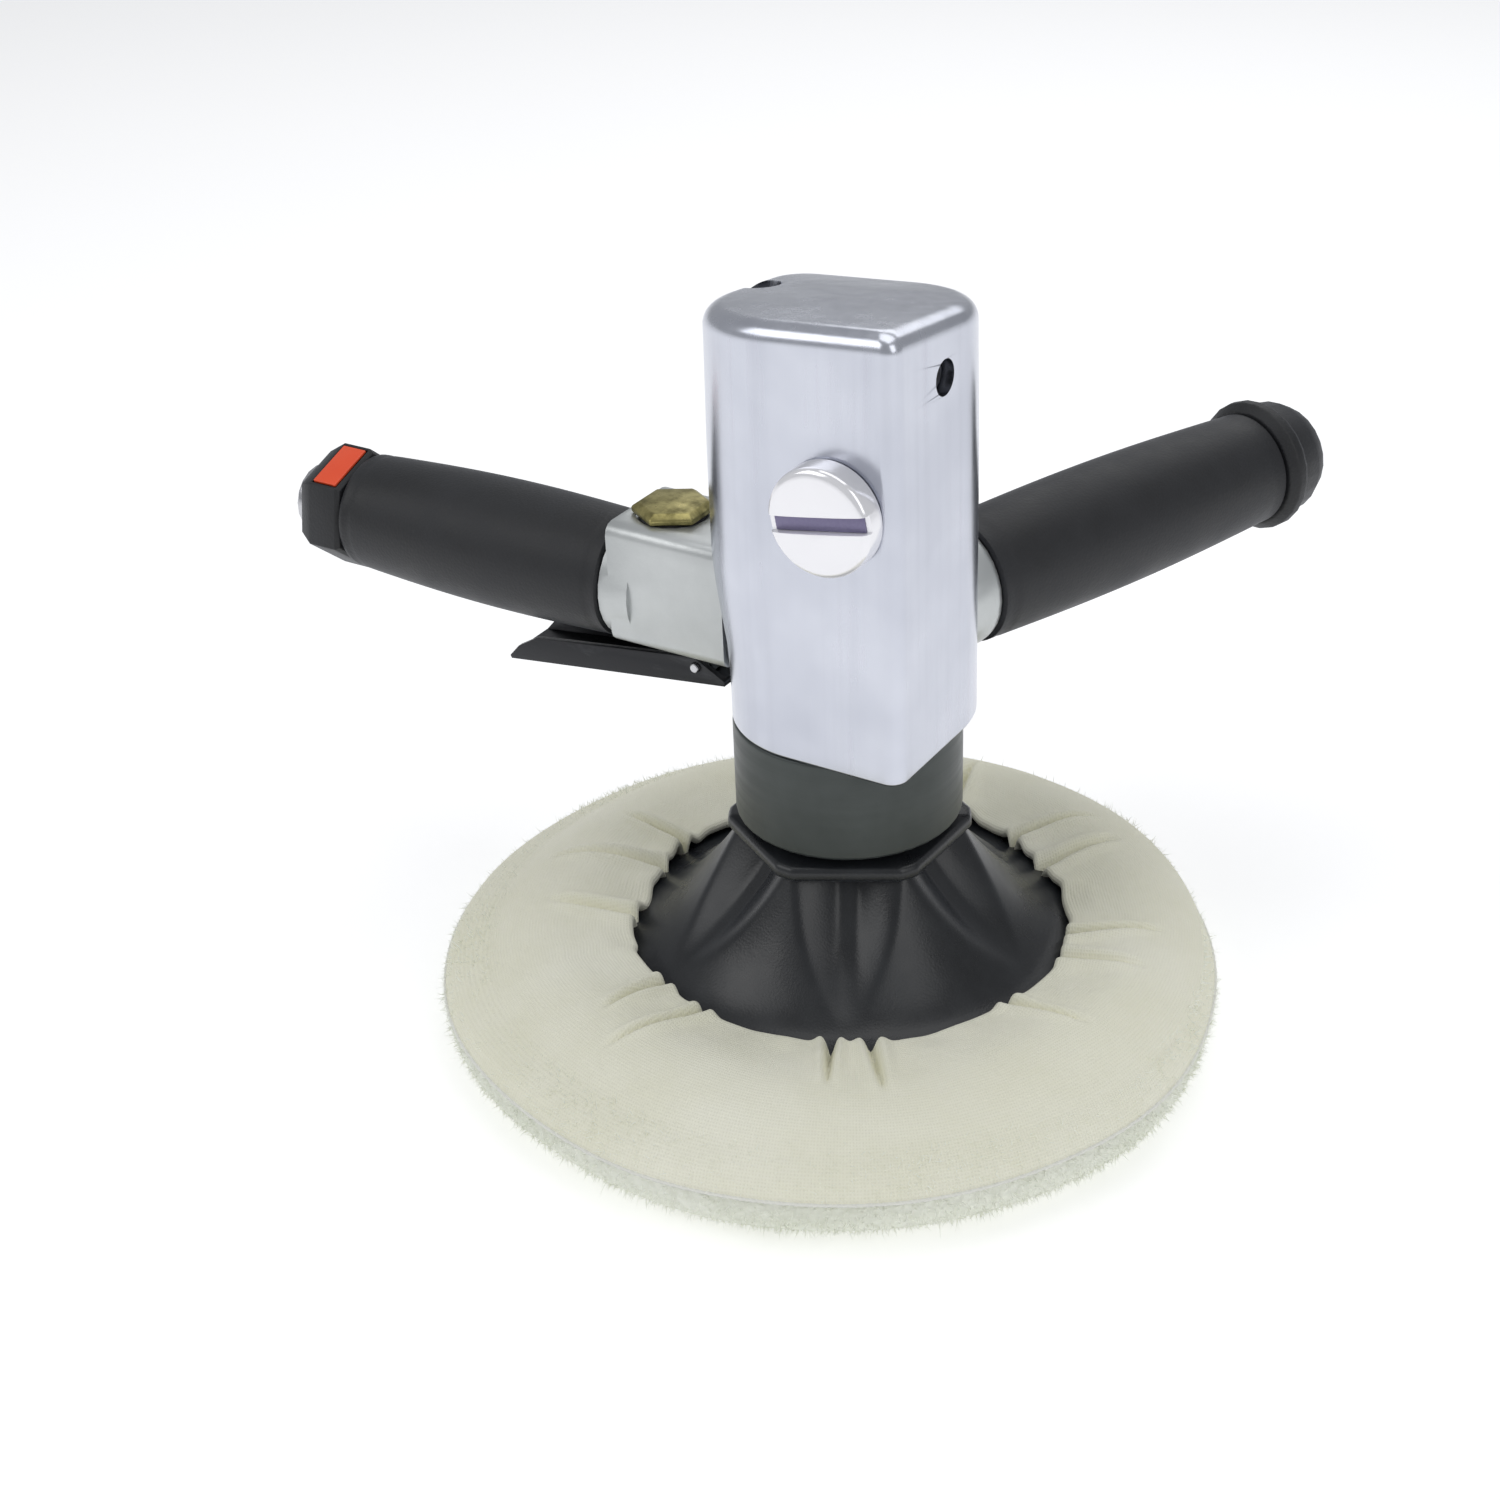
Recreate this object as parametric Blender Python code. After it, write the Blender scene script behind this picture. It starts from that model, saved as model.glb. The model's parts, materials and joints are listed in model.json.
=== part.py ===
"""Two-handed vertical air polisher with a 7 inch backing pad and a pile bonnet.

Blender 4.5, metres, +Z up. The origin is the centre of the bonnet's working face, on the
spindle axis. The dial face of the motor housing looks along -Y, the throttle handle points
along -X and the side handle points back and to the right.
All numbers below are millimetres and degrees, and mm() turns them into metres.
"""

import math

import bmesh
import bpy
from mathutils import Matrix

# ---- driving dimensions, mm -------------------------------------------------------------
BONNET_R = 98.0
BONNET_H = 26.0
BONNET_OPENING_R = 55.0
PAD_R = 86.0
PAD_BOTTOM = 12.0
PAD_EDGE_TOP = 19.5
PAD_HUB_TOP = 57.0
PAD_HUB_CORNER_R = 31.0
PAD_RIBS = 6
PAD_VALLEY_AZIMUTH = 28.5

CASE_R = 28.0
CASE_BOTTOM = 59.6
CASE_TOP = 85.7
HOUSING_BOTTOM = 86.0
HOUSING_TOP = 187.0
HOUSING_FRONT = 28.5
HOUSING_RIGHT = 30.0
HOUSING_BACK = 28.8
HOUSING_LEFT_LOW = 27.2
HOUSING_LEFT_HIGH = 31.6
HOUSING_BORE_R = 23.8
RIDGE_FILLET = 4.0
FAR_CORNER_FILLET = 25.0
SOFT_CORNER_FILLET = 9.0
TOP_FILLET = 5.0
TOP_RISE = 2.5
TOP_LEAN = 0.147

GEAR_MODULE = 0.95
SUN_TEETH = 12
PLANET_TEETH = 15
RING_TEETH = 42
PRESSURE_ANGLE = 20.0
FLANK_CLEARANCE = 0.11
GEAR_BOTTOM = 76.2
GEAR_TOP = 86.8
PLANETS = 3

CYLINDER_R = 23.5
CYLINDER_BORE_R = 18.5
CYLINDER_OFFSET = 2.0
ROTOR_R = 16.3
ROTOR_BOTTOM = 94.4
ROTOR_TOP = 139.4
VANES = 4

HANDLE_Z = 108.0
SIDE_HANDLE_TURN = 70.0
GRIP_NEAR_R = 15.8
GRIP_MID_R = 16.7
GRIP_FAR_R = 15.0

BODY_NEAR = 26.0
BODY_FAR = 58.8
BODY_HALF_W = 14.0
BODY_TOP = 127.8
BODY_BOTTOM = 96.0
VALVE_X = -48.0
LEVER_PIVOT_X = -38.0
LEVER_PIVOT_Z = 91.6
LEVER_WIDTH = 17.0
LEVER_SHEET = 1.6
LEVER_PIN_R = 1.2
MARKER_TILT = -20.0

DIAL_X = 14.0
DIAL_Z = 152.0
DIAL_R = 12.9
DIAL_SLOT_TILT = 10.0
TOP_SCREW_X = -25.6
TOP_SCREW_Y = 8.0


def mm(value):
    return value / 1000.0


def clear_scene():
    for obj in list(bpy.data.objects):
        bpy.data.objects.remove(obj, do_unlink=True)


def material(name, colour, roughness, metallic=0.0):
    made = bpy.data.materials.new(name)
    made.use_nodes = True
    shader = made.node_tree.nodes["Principled BSDF"]
    shader.inputs["Base Color"].default_value = (*colour, 1.0)
    shader.inputs["Roughness"].default_value = roughness
    shader.inputs["Metallic"].default_value = metallic
    made.diffuse_color = (*colour, 1.0)
    return made


def empty(name, location=(0, 0, 0), rotation=(0, 0, 0), parent=None):
    made = bpy.data.objects.new(name, None)
    bpy.context.scene.collection.objects.link(made)
    made.location = [mm(v) for v in location]
    made.rotation_euler = [math.radians(v) for v in rotation]
    made.parent = parent
    return made


def finish(bm, name, look, location=(0, 0, 0), rotation=(0, 0, 0), parent=None, smooth=35):
    """Turns a bmesh in millimetres into a named object in metres."""
    bmesh.ops.recalc_face_normals(bm, faces=bm.faces)
    bmesh.ops.scale(bm, vec=(0.001, 0.001, 0.001), verts=bm.verts)
    mesh = bpy.data.meshes.new(name)
    bm.to_mesh(mesh)
    bm.free()
    if smooth:
        mesh.shade_smooth()
        mesh.set_sharp_from_angle(angle=math.radians(smooth))
    obj = bpy.data.objects.new(name, mesh)
    bpy.context.scene.collection.objects.link(obj)
    obj.location = [mm(v) for v in location]
    obj.rotation_euler = [math.radians(v) for v in rotation]
    obj.parent = parent
    if look is not None:
        mesh.materials.append(look)
    return obj


def lathe_mesh(profile, segments=32, turn=0.0):
    """A bmesh of a closed (radius, height) profile turned round Z. Points at radius 0 close up."""
    bm = bmesh.new()
    rings = []
    for radius, height in profile:
        if radius < 1e-6:
            rings.append([bm.verts.new((0, 0, height))])
            continue
        ring = []
        for i in range(segments):
            angle = 2 * math.pi * i / segments + math.radians(turn)
            ring.append(bm.verts.new((radius * math.cos(angle), radius * math.sin(angle), height)))
        rings.append(ring)
    for first, second in zip(rings, rings[1:] + rings[:1]):
        if len(first) == 1 and len(second) == 1:
            continue
        for i in range(segments):
            j = (i + 1) % segments
            if len(first) == 1:
                bm.faces.new((first[0], second[i], second[j]))
            elif len(second) == 1:
                bm.faces.new((first[i], first[j], second[0]))
            else:
                bm.faces.new((first[i], first[j], second[j], second[i]))
    return bm


def lathe(name, look, profile, segments=32, turn=0.0, **place):
    return finish(lathe_mesh(profile, segments, turn), name, look, **place)


def circle(radius, segments, centre=(0.0, 0.0), turn=0.0):
    points = []
    for i in range(segments):
        angle = 2 * math.pi * i / segments + math.radians(turn)
        points.append((centre[0] + radius * math.cos(angle), centre[1] + radius * math.sin(angle)))
    return points


def plate_mesh(outline, holes, bottom, top):
    """A flat plate from closed outlines in the XY plane, with walls between two heights."""
    bm = bmesh.new()
    lower = []
    upper = []
    edges = []
    for loop in [outline] + holes:
        base = [bm.verts.new((x, y, bottom)) for x, y in loop]
        lid = [bm.verts.new((x, y, top)) for x, y in loop]
        for i in range(len(base)):
            edges.append(bm.edges.new((base[i], base[(i + 1) % len(base)])))
        lower.append(base)
        upper.append(lid)
    bmesh.ops.triangle_fill(bm, use_beauty=True, use_dissolve=False, edges=edges)
    partner = {a: b for base, lid in zip(lower, upper) for a, b in zip(base, lid)}
    for face in list(bm.faces):
        bm.faces.new([partner[v] for v in face.verts])
    for base, lid in zip(lower, upper):
        for i in range(len(base)):
            j = (i + 1) % len(base)
            bm.faces.new((base[i], base[j], lid[j], lid[i]))
    return bm


def plate(name, look, outline, holes, bottom, top, **place):
    return finish(plate_mesh(outline, holes, bottom, top), name, look, **place)


def torus_mesh(major, minor, height, around=36, section=8):
    profile = []
    for i in range(section):
        angle = 2 * math.pi * i / section
        profile.append((major + minor * math.cos(angle), height + minor * math.sin(angle)))
    return lathe_mesh(profile, around)


def boolean(obj, helper, operation="DIFFERENCE"):
    helper.hide_render = True
    helper.display_type = "WIRE"
    modifier = obj.modifiers.new(operation.title() + "_" + helper.name, "BOOLEAN")
    modifier.operation = operation
    modifier.solver = "EXACT"
    modifier.object = helper
    return obj


def rod_cutter(name, radius, length, location, rotation=(0, 0, 0), segments=18, parent=None):
    """A cylinder along its own Z from 0 to length, used to cut a round hole."""
    profile = [(0, 0), (radius, 0), (radius, length), (0, length)]
    return lathe(name, None, profile, segments, location=location, rotation=rotation, parent=parent)


def box_mesh(low, high):
    bm = bmesh.new()
    bmesh.ops.create_cube(bm, size=1.0)
    centre = [(a + b) / 2 for a, b in zip(low, high)]
    size = [b - a for a, b in zip(low, high)]
    bmesh.ops.scale(bm, vec=size, verts=bm.verts)
    bmesh.ops.translate(bm, vec=centre, verts=bm.verts)
    return bm


def box_cutter(name, low, high, **place):
    return finish(box_mesh(low, high), name, None, smooth=0, **place)


def arc(centre, radius, start, end, steps):
    points = []
    for i in range(steps + 1):
        angle = math.radians(start + (end - start) * i / steps)
        points.append((centre[0] + radius * math.cos(angle), centre[1] + radius * math.sin(angle)))
    return points


# ---- gear teeth ---------------------------------------------------------------------------
def involute_half_angle(teeth, radius, thickness):
    """Half the angle that a tooth takes up at this radius."""
    pitch = GEAR_MODULE * teeth / 2
    pressure = math.radians(PRESSURE_ANGLE)
    base = pitch * math.cos(pressure)
    at_pitch = thickness / (2 * pitch) + math.tan(pressure) - pressure
    if radius <= base:
        return at_pitch
    local = math.acos(base / radius)
    return at_pitch - (math.tan(local) - local)


def gear_outline(teeth, root, tip, thickness, first_tooth):
    """Outline of a gear with outward teeth, or of the hole of a ring gear."""
    radii = [root + (tip - root) * i / 2 for i in range(3)]
    if teeth > 30:
        radii = [root, tip]
    points = []
    for tooth in range(teeth):
        centre = math.radians(first_tooth) + 2 * math.pi * tooth / teeth
        for radius in radii:
            angle = centre - involute_half_angle(teeth, radius, thickness)
            points.append((radius * math.cos(angle), radius * math.sin(angle)))
        for radius in reversed(radii):
            angle = centre + involute_half_angle(teeth, radius, thickness)
            points.append((radius * math.cos(angle), radius * math.sin(angle)))
    return points


def pitch_radius(teeth):
    return GEAR_MODULE * teeth / 2


TOOTH = math.pi * GEAR_MODULE / 2
PLANET_ORBIT = pitch_radius(SUN_TEETH) + pitch_radius(PLANET_TEETH)


# ---- materials ----------------------------------------------------------------------------
def make_looks():
    return {
        "polished": material("polished_aluminium", (0.80, 0.80, 0.83), 0.16, 1.0),
        "cast": material("satin_cast_aluminium", (0.42, 0.43, 0.45), 0.38, 0.85),
        "ring": material("dark_grey_anodised", (0.045, 0.052, 0.052), 0.42, 0.35),
        "chrome": material("white_chrome", (0.86, 0.86, 0.88), 0.14, 1.0),
        "black_steel": material("black_oxide_steel", (0.018, 0.018, 0.02), 0.42, 0.6),
        "rubber": material("black_rubber", (0.012, 0.012, 0.013), 0.55),
        "pad": material("pad_rubber", (0.02, 0.022, 0.025), 0.38),
        "brass": material("brass", (0.42, 0.36, 0.10), 0.34, 0.9),
        "red": material("orange_red_plastic", (0.80, 0.075, 0.03), 0.35),
        "steel": material("ground_steel", (0.55, 0.55, 0.57), 0.28, 1.0),
        "liner": material("cast_iron", (0.16, 0.16, 0.17), 0.5, 0.8),
        "vane": material("phenolic_vane", (0.16, 0.07, 0.03), 0.6),
        "nitrile": material("nitrile_rubber", (0.015, 0.015, 0.015), 0.5),
        "pile": material("cream_pile", (0.70, 0.72, 0.60), 0.9),
        "cloth": material("cream_cloth", (0.76, 0.74, 0.58), 0.85),
        "elastic": material("white_elastic", (0.78, 0.78, 0.74), 0.8),
    }


# ---- motor housing and what is fastened to it ------------------------------------------------
def housing_section(height, inset=0.0):
    """Section at this height: a square corner at +X -Y, round corners either side of it and a
    softer corner at -X +Y. The side toward the throttle handle swells with height."""
    share = min(max((height - 92.0) / 40.0, 0.0), 1.0)
    share = share * share * (3 - 2 * share)
    left = HOUSING_LEFT_LOW + (HOUSING_LEFT_HIGH - HOUSING_LEFT_LOW) * share - inset
    right, front, back = HOUSING_RIGHT - inset, HOUSING_FRONT - inset, HOUSING_BACK - inset
    ridge = max(RIDGE_FILLET - inset * 0.35, 1.5)
    far = FAR_CORNER_FILLET - inset
    soft = max(SOFT_CORNER_FILLET - inset * 0.5, 3.0)
    swell = min(left, front)
    points = []
    points += arc((-left + swell, -front + swell), swell, 180, 270, 11)
    points += arc((right - ridge, -front + ridge), ridge, 270, 360, 4)
    points += arc((right - far, back - far), far, 0, 90, 10)
    points += arc((-left + soft, back - soft), soft, 90, 180, 6)
    return points


def top_rise(x, y, height):
    """The top of the housing leans up toward the square corner; the lower walls stay plain."""
    share = min(max((height - 150.0) / 30.0, 0.0), 1.0)
    share = share * share * (3 - 2 * share)
    return share * (TOP_RISE + TOP_LEAN * (0.53 * x - 0.848 * y))


def housing_mesh(inset=0.0, levels=None):
    if levels is None:
        levels = [(HOUSING_BOTTOM, 0.8), (HOUSING_BOTTOM + 0.8, 0.0)]
        levels += [(height, 0.0) for height in (97.0, 105.0, 113.0, 121.0, 129.0, 139.0, 150.0, 158.0, 165.0, 173.0)]
        levels.append((HOUSING_TOP - TOP_FILLET, 0.4))
        for step in range(1, 5):
            angle = math.radians(90 * step / 4)
            height = HOUSING_TOP - TOP_FILLET + TOP_FILLET * math.sin(angle)
            levels.append((height, 0.4 + TOP_FILLET * (1 - math.cos(angle))))
    bm = bmesh.new()
    rings = []
    for height, level_inset in levels:
        section = housing_section(height, level_inset + inset)
        rings.append([bm.verts.new((x, y, height + top_rise(x, y, height))) for x, y in section])
    for lower, upper in zip(rings, rings[1:]):
        for i in range(len(lower)):
            j = (i + 1) % len(lower)
            bm.faces.new((lower[i], lower[j], upper[j], upper[i]))
    bm.faces.new(rings[0])
    bm.faces.new(rings[-1])
    return bm


def housing_clearance(name):
    """A solid 0.3 mm larger than the housing, which shapes the seats of the two handles."""
    levels = [(height, 0.0) for height in (84.0, 92.0, 97.0, 105.0, 113.0, 121.0, 129.0, 139.0)]
    return finish(housing_mesh(-0.3, levels), name, None)


def make_housing(looks):
    housing = finish(housing_mesh(), "motor_housing", looks["polished"], smooth=30)
    bore = [
        (0, 86.0), (HOUSING_BORE_R, 86.0), (HOUSING_BORE_R, 146.6), (19.0, 148.0),
        (19.0, 168.0), (16.0, 171.0), (0, 171.0),
    ]
    boolean(housing, lathe("cut_housing_bore", None, bore, 32))
    dial_hole = [(0, 0), (11.4, 0), (11.4, 1.9), (9.1, 1.9), (9.1, 14.0), (0, 14.0)]
    boolean(housing, lathe("cut_dial_bore", None, dial_hole, 24,
                           location=(DIAL_X, -29.0, DIAL_Z), rotation=(-90, 0, 0)))
    boolean(housing, rod_cutter("cut_side_port", 4.2, 9.5, (31.0, -6.0, 178.5), (0, -90, 0)))
    screw_hole = [(0, 9.0), (2.7, 9.0), (2.7, 17.0), (4.9, 17.0), (4.9, 30.0), (0, 30.0)]
    boolean(housing, lathe("cut_top_screw", None, screw_hole, 18,
                           location=(TOP_SCREW_X, TOP_SCREW_Y, 162.0)))
    boolean(housing, rod_cutter("cut_air_port", 3.0, 8.0, (-30.0, 0, 99.8), (0, 90, 0)))
    boolean(housing, rod_cutter("cut_stud_hole", 5.3, 12.0,
                                (20.0 * math.cos(math.radians(SIDE_HANDLE_TURN)),
                                 20.0 * math.sin(math.radians(SIDE_HANDLE_TURN)), HANDLE_Z),
                                (0, 90, SIDE_HANDLE_TURN)))
    cap = [
        (2.0, 172.0), (2.4, 172.0), (2.4, 179.3), (4.5, 179.3), (4.5, 183.4), (4.1, 183.8),
        (2.1, 183.8), (2.1, 180.8), (0, 180.8), (0, 171.4), (2.0, 171.4),
    ]
    lathe("top_cap_screw", looks["black_steel"], cap, 16, location=(TOP_SCREW_X, TOP_SCREW_Y, 0))
    plug = [(0, 0), (3.9, 0), (3.9, 4.6), (3.4, 5.1), (1.9, 5.1), (1.9, 2.6), (0, 2.6)]
    lathe("side_port_plug", looks["black_steel"], plug, 16,
          location=(21.9, -6.0, 178.5), rotation=(0, 90, 0))
    return housing


def make_dial(looks):
    """The slotted dial turns on an axis along -Y, and its head stands proud of the front face."""
    axis = empty("dial_axis", (DIAL_X, -HOUSING_FRONT, DIAL_Z), (90, 0, 0))
    profile = [
        (0, -13.0), (3.4, -13.0), (3.8, -12.6), (3.8, -3.6), (8.8, -3.6), (8.8, 0.3),
        (DIAL_R, 0.3), (DIAL_R, 5.9), (DIAL_R - 1.5, 7.5), (0, 7.5),
    ]
    dial = lathe("speed_dial", looks["chrome"], profile, 30, parent=axis)
    slot = box_cutter("cut_dial_slot", (-11.8, -2.0, 5.1), (11.8, 2.0, 10.0),
                      rotation=(0, 0, DIAL_SLOT_TILT), parent=axis)
    boolean(dial, slot)
    finish(torus_mesh(10.1, 0.62, -0.72, 24, 5), "dial_o_ring", looks["nitrile"], parent=axis)


def make_gear_case(looks):
    case = [
        (CASE_R - 0.8, CASE_BOTTOM), (CASE_R, CASE_BOTTOM + 0.8), (CASE_R, CASE_TOP - 0.5),
        (CASE_R - 0.5, CASE_TOP), (24.4, CASE_TOP), (24.4, 72.1), (17.8, 72.1),
        (17.8, 61.0), (13.0, 61.0), (13.0, CASE_BOTTOM),
    ]
    lathe("gear_case", looks["ring"], case, 40)
    outer = circle(pitch_radius(RING_TEETH) + 4.1, 40)
    spaces = gear_outline(RING_TEETH, pitch_radius(RING_TEETH) - 0.76,
                          pitch_radius(RING_TEETH) + 1.15,
                          TOOTH + 2 * FLANK_CLEARANCE, 90.0)
    plate("ring_gear", looks["steel"], outer, [spaces], GEAR_BOTTOM - 0.2, CASE_TOP - 0.3, smooth=20)
    lathe("spindle_seal", looks["nitrile"],
          [(8.6, 59.9), (12.7, 59.9), (12.7, 60.8), (8.9, 60.8)], 28)
    lathe("spindle_bearing_outer", looks["steel"],
          [(17.5, 61.3), (17.5, 70.9), (15.2, 70.9), (14.9, 68.4), (15.1, 66.1),
           (14.9, 63.8), (15.2, 61.3)], 24)
    circlip = circle(17.5, 28)[1:] + list(reversed(circle(15.0, 28)[1:]))
    plate("bearing_circlip", looks["black_steel"], circlip, [], 71.2, 72.0, smooth=20)


def bearing_pair(name, looks, outer, inner, bottom, top):
    """Outer ring with shields, and the inner ring that runs inside it."""
    race = outer - 1.5
    lip = inner + 1.45
    shell = [
        (outer, bottom), (outer, top), (lip, top), (lip, top - 0.5), (race, top - 0.5),
        (race, bottom + 0.5), (lip, bottom + 0.5), (lip, bottom),
    ]
    lathe(name + "_outer", looks["steel"], shell, 18)
    core = [(inner, bottom), (inner + 1.15, bottom), (inner + 1.15, top), (inner, top)]
    lathe(name + "_inner", looks["steel"], core, 18)


def make_motor(looks):
    holes = [circle(8.15, 24), circle(1.5, 10, (-21.0, 0.0))]
    plate("front_end_plate", looks["liner"], circle(CYLINDER_R, 28), holes, 88.1, 93.9)
    plate("rear_end_plate", looks["liner"], circle(CYLINDER_R, 28), holes, 140.0, 146.2)
    holes = [circle(CYLINDER_BORE_R, 40, (CYLINDER_OFFSET, 0.0)), circle(1.5, 10, (-21.0, 0.0))]
    liner = plate("cylinder_liner", looks["liner"], circle(CYLINDER_R, 40), holes, 94.2, 139.7)
    for number, height in enumerate((106.0, 124.0)):
        boolean(liner, box_cutter("cut_exhaust_%d" % (number + 1), (18.0, -9.0, height),
                                  (26.0, 9.0, height + 3.0)))
    pin = [(0, 88.6), (1.2, 88.6), (1.2, 145.6), (0, 145.6)]
    lathe("locating_pin", looks["steel"], pin, 10, location=(-21.0, 0, 0))
    bearing_pair("front_rotor_bearing", looks, 8.0, 4.0, 88.8, 93.6)
    bearing_pair("rear_rotor_bearing", looks, 8.0, 4.0, 140.4, 145.4)

    outline = []
    for vane in range(VANES):
        turn = 90.0 * vane
        half = math.degrees(math.asin(1.0 / ROTOR_R))
        outline += rotate([(ROTOR_R * math.cos(math.radians(half)), -1.0), (8.3, -1.0),
                           (8.3, 1.0), (ROTOR_R * math.cos(math.radians(half)), 1.0)], turn)
        outline += arc((0, 0), ROTOR_R, turn + half + 4, turn + 90 - half - 4, 6)
    rotor = plate("rotor", looks["steel"], outline, [], ROTOR_BOTTOM, ROTOR_TOP)
    shaft = [
        (0, 76.5), (2.3, 76.5), (2.3, 88.5), (3.85, 88.5), (3.85, 94.0), (6.0, 94.0),
        (6.0, 139.8), (3.85, 139.8), (3.85, 146.6), (0, 146.6),
    ]
    boolean(rotor, lathe("rotor_shaft_core", None, shaft, 20), "UNION")
    for vane in range(VANES):
        plate("vane_%d" % (vane + 1), looks["vane"],
              rotate([(8.6, -0.75), (15.9, -0.75), (15.9, 0.75), (8.6, 0.75)], 90.0 * vane),
              [], ROTOR_BOTTOM + 0.2, ROTOR_TOP - 0.2)
    teeth = gear_outline(SUN_TEETH, 4.55, pitch_radius(SUN_TEETH) + 0.76,
                         TOOTH - 2 * FLANK_CLEARANCE, 90.0)
    plate("sun_pinion", looks["steel"], teeth, [circle(2.5, 24)], GEAR_BOTTOM, GEAR_TOP, smooth=20)


def rotate(points, degrees):
    turn = math.radians(degrees)
    return [(x * math.cos(turn) - y * math.sin(turn), x * math.sin(turn) + y * math.cos(turn))
            for x, y in points]


# ---- spindle, gears, pad and bonnet ------------------------------------------------------------
def make_spindle(looks):
    axis = empty("spindle_axis")
    pin_holes = []
    for number in range(PLANETS):
        centre = rotate([(PLANET_ORBIT, 0)], 90.0 + 120.0 * number)[0]
        pin_holes.append(circle(2.25, 16, centre))
    spindle = plate("spindle", looks["steel"], circle(19.8, 30), pin_holes, 72.5, 75.6, parent=axis)
    shaft = [(0, 26.0), (7.4, 26.0), (8.2, 26.8), (8.2, 74.0), (0, 74.0)]
    boolean(spindle, lathe("spindle_shaft_core", None, shaft, 30, parent=axis), "UNION")
    for number in range(PLANETS):
        angle = 90.0 + 120.0 * number
        x, y = rotate([(PLANET_ORBIT, 0)], angle)[0]
        lathe("planet_pin_%d" % (number + 1), looks["steel"],
              [(0, 72.7), (2.1, 72.7), (2.1, 87.0), (0, 87.0)], 16,
              location=(x, y, 0), parent=axis)
        teeth = gear_outline(PLANET_TEETH, pitch_radius(PLANET_TEETH) - 1.1,
                             pitch_radius(PLANET_TEETH) + 0.76, TOOTH - 2 * FLANK_CLEARANCE,
                             angle + 180.0 + 180.0 / PLANET_TEETH)
        plate("planet_gear_%d" % (number + 1), looks["steel"], teeth, [circle(2.25, 16)],
              GEAR_BOTTOM, GEAR_TOP, location=(x, y, 0), parent=axis, smooth=20)
    lathe("spindle_bearing_inner", looks["steel"],
          [(8.4, 61.3), (10.8, 61.3), (11.1, 63.8), (10.9, 66.1), (11.1, 68.4), (10.8, 70.9),
           (8.4, 70.9)], 24, parent=axis)
    cage = lathe("spindle_ball_cage", looks["brass"],
                 [(12.6, 65.2), (13.4, 65.2), (13.4, 67.0), (12.6, 67.0)], 32, parent=axis)
    for number in range(8):
        x, y = rotate([(13.0, 0)], 45.0 * number)[0]
        ball = bmesh.new()
        bmesh.ops.create_uvsphere(ball, u_segments=6, v_segments=4, radius=1.7)
        boolean(cage, finish(ball, "ball_%d" % (number + 1), None,
                             location=(x, y, 66.1), parent=axis), "UNION")
    insert = [
        (8.4, 27.0), (8.4, 56.6), (11.8, 56.6), (11.8, 15.6), (24.0, 15.6), (24.0, 12.3),
        (0, 12.3), (0, 25.4), (8.4, 25.4),
    ]
    lathe("pad_hub_insert", looks["steel"], insert, 24, parent=axis)
    return axis


def rib_depth(azimuth, height):
    """How far the pad's hub is hollowed between two ribs at this height."""
    span = 360.0 / PAD_RIBS
    away = (azimuth - PAD_VALLEY_AZIMUTH + span / 2) % span - span / 2
    rise = (height - 27.0) / (PAD_HUB_TOP - 4.0 - 27.0)
    if rise <= 0:
        return 0.0
    rise = min(rise, 1.0)
    half_width = 0.46 * span * rise ** 0.75
    inside = max(0.0, 1.0 - abs(away) / half_width)
    return 8.5 * math.sin(math.pi / 2 * rise) * min(1.0, inside * 1.35)


def flange_radius(azimuth):
    """Radius of the hexagonal flange at the top of the pad's hub, with rounded corners."""
    span = 360.0 / PAD_RIBS
    away = (azimuth - PAD_VALLEY_AZIMUTH + span / 2) % span - span / 2
    flat = PAD_HUB_CORNER_R * math.cos(math.radians(span / 2)) / math.cos(math.radians(away))
    return min(flat + 0.4, PAD_HUB_CORNER_R - 0.8)


def make_pad(looks, axis):
    cone = []
    for step in range(6):
        share = step / 5
        height = 24.0 + (PAD_HUB_TOP - 4.0 - 24.0) * share
        cone.append((55.0 - 27.0 * share ** 0.62, height))
    segments = 42
    bm = bmesh.new()
    rings = []
    outer = [(PAD_R - 2.0, PAD_BOTTOM), (PAD_R, PAD_BOTTOM + 2.0), (PAD_R, PAD_EDGE_TOP - 1.5),
             (PAD_R - 2.0, PAD_EDGE_TOP), (62.0, 22.0)]
    for radius, height in outer:
        rings.append(ring_of(bm, segments, height, lambda azimuth, r=radius: r))
    for radius, height in cone:
        rings.append(ring_of(bm, segments, height,
                             lambda azimuth, r=radius, h=height: r - rib_depth(azimuth, h)))
    rings.append(ring_of(bm, segments, PAD_HUB_TOP - 3.2, flange_radius))
    rings.append(ring_of(bm, segments, PAD_HUB_TOP - 0.8, flange_radius))
    rings.append(ring_of(bm, segments, PAD_HUB_TOP, lambda azimuth: flange_radius(azimuth) - 1.2))
    for lower, upper in zip(rings, rings[1:]):
        for i in range(segments):
            j = (i + 1) % segments
            bm.faces.new((lower[i], lower[j], upper[j], upper[i]))
    bm.faces.new(rings[0])
    bm.faces.new(rings[-1])
    pad = finish(bm, "backing_pad", looks["pad"], parent=axis, smooth=40)
    hole = [
        (0, 10.0), (24.3, 10.0), (24.3, 15.9), (12.1, 15.9), (12.1, 60.0), (0, 60.0),
    ]
    boolean(pad, lathe("cut_pad_hub", None, hole, 30, parent=axis))


def ring_of(bm, segments, height, radius_at):
    """One ring of vertices whose radius follows the azimuth, measured from -Y toward +X."""
    ring = []
    for i in range(segments):
        azimuth = 360.0 * i / segments
        radius = radius_at(azimuth)
        angle = math.radians(azimuth - 90.0)
        ring.append(bm.verts.new((radius * math.cos(angle), radius * math.sin(angle), height)))
    return ring


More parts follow.
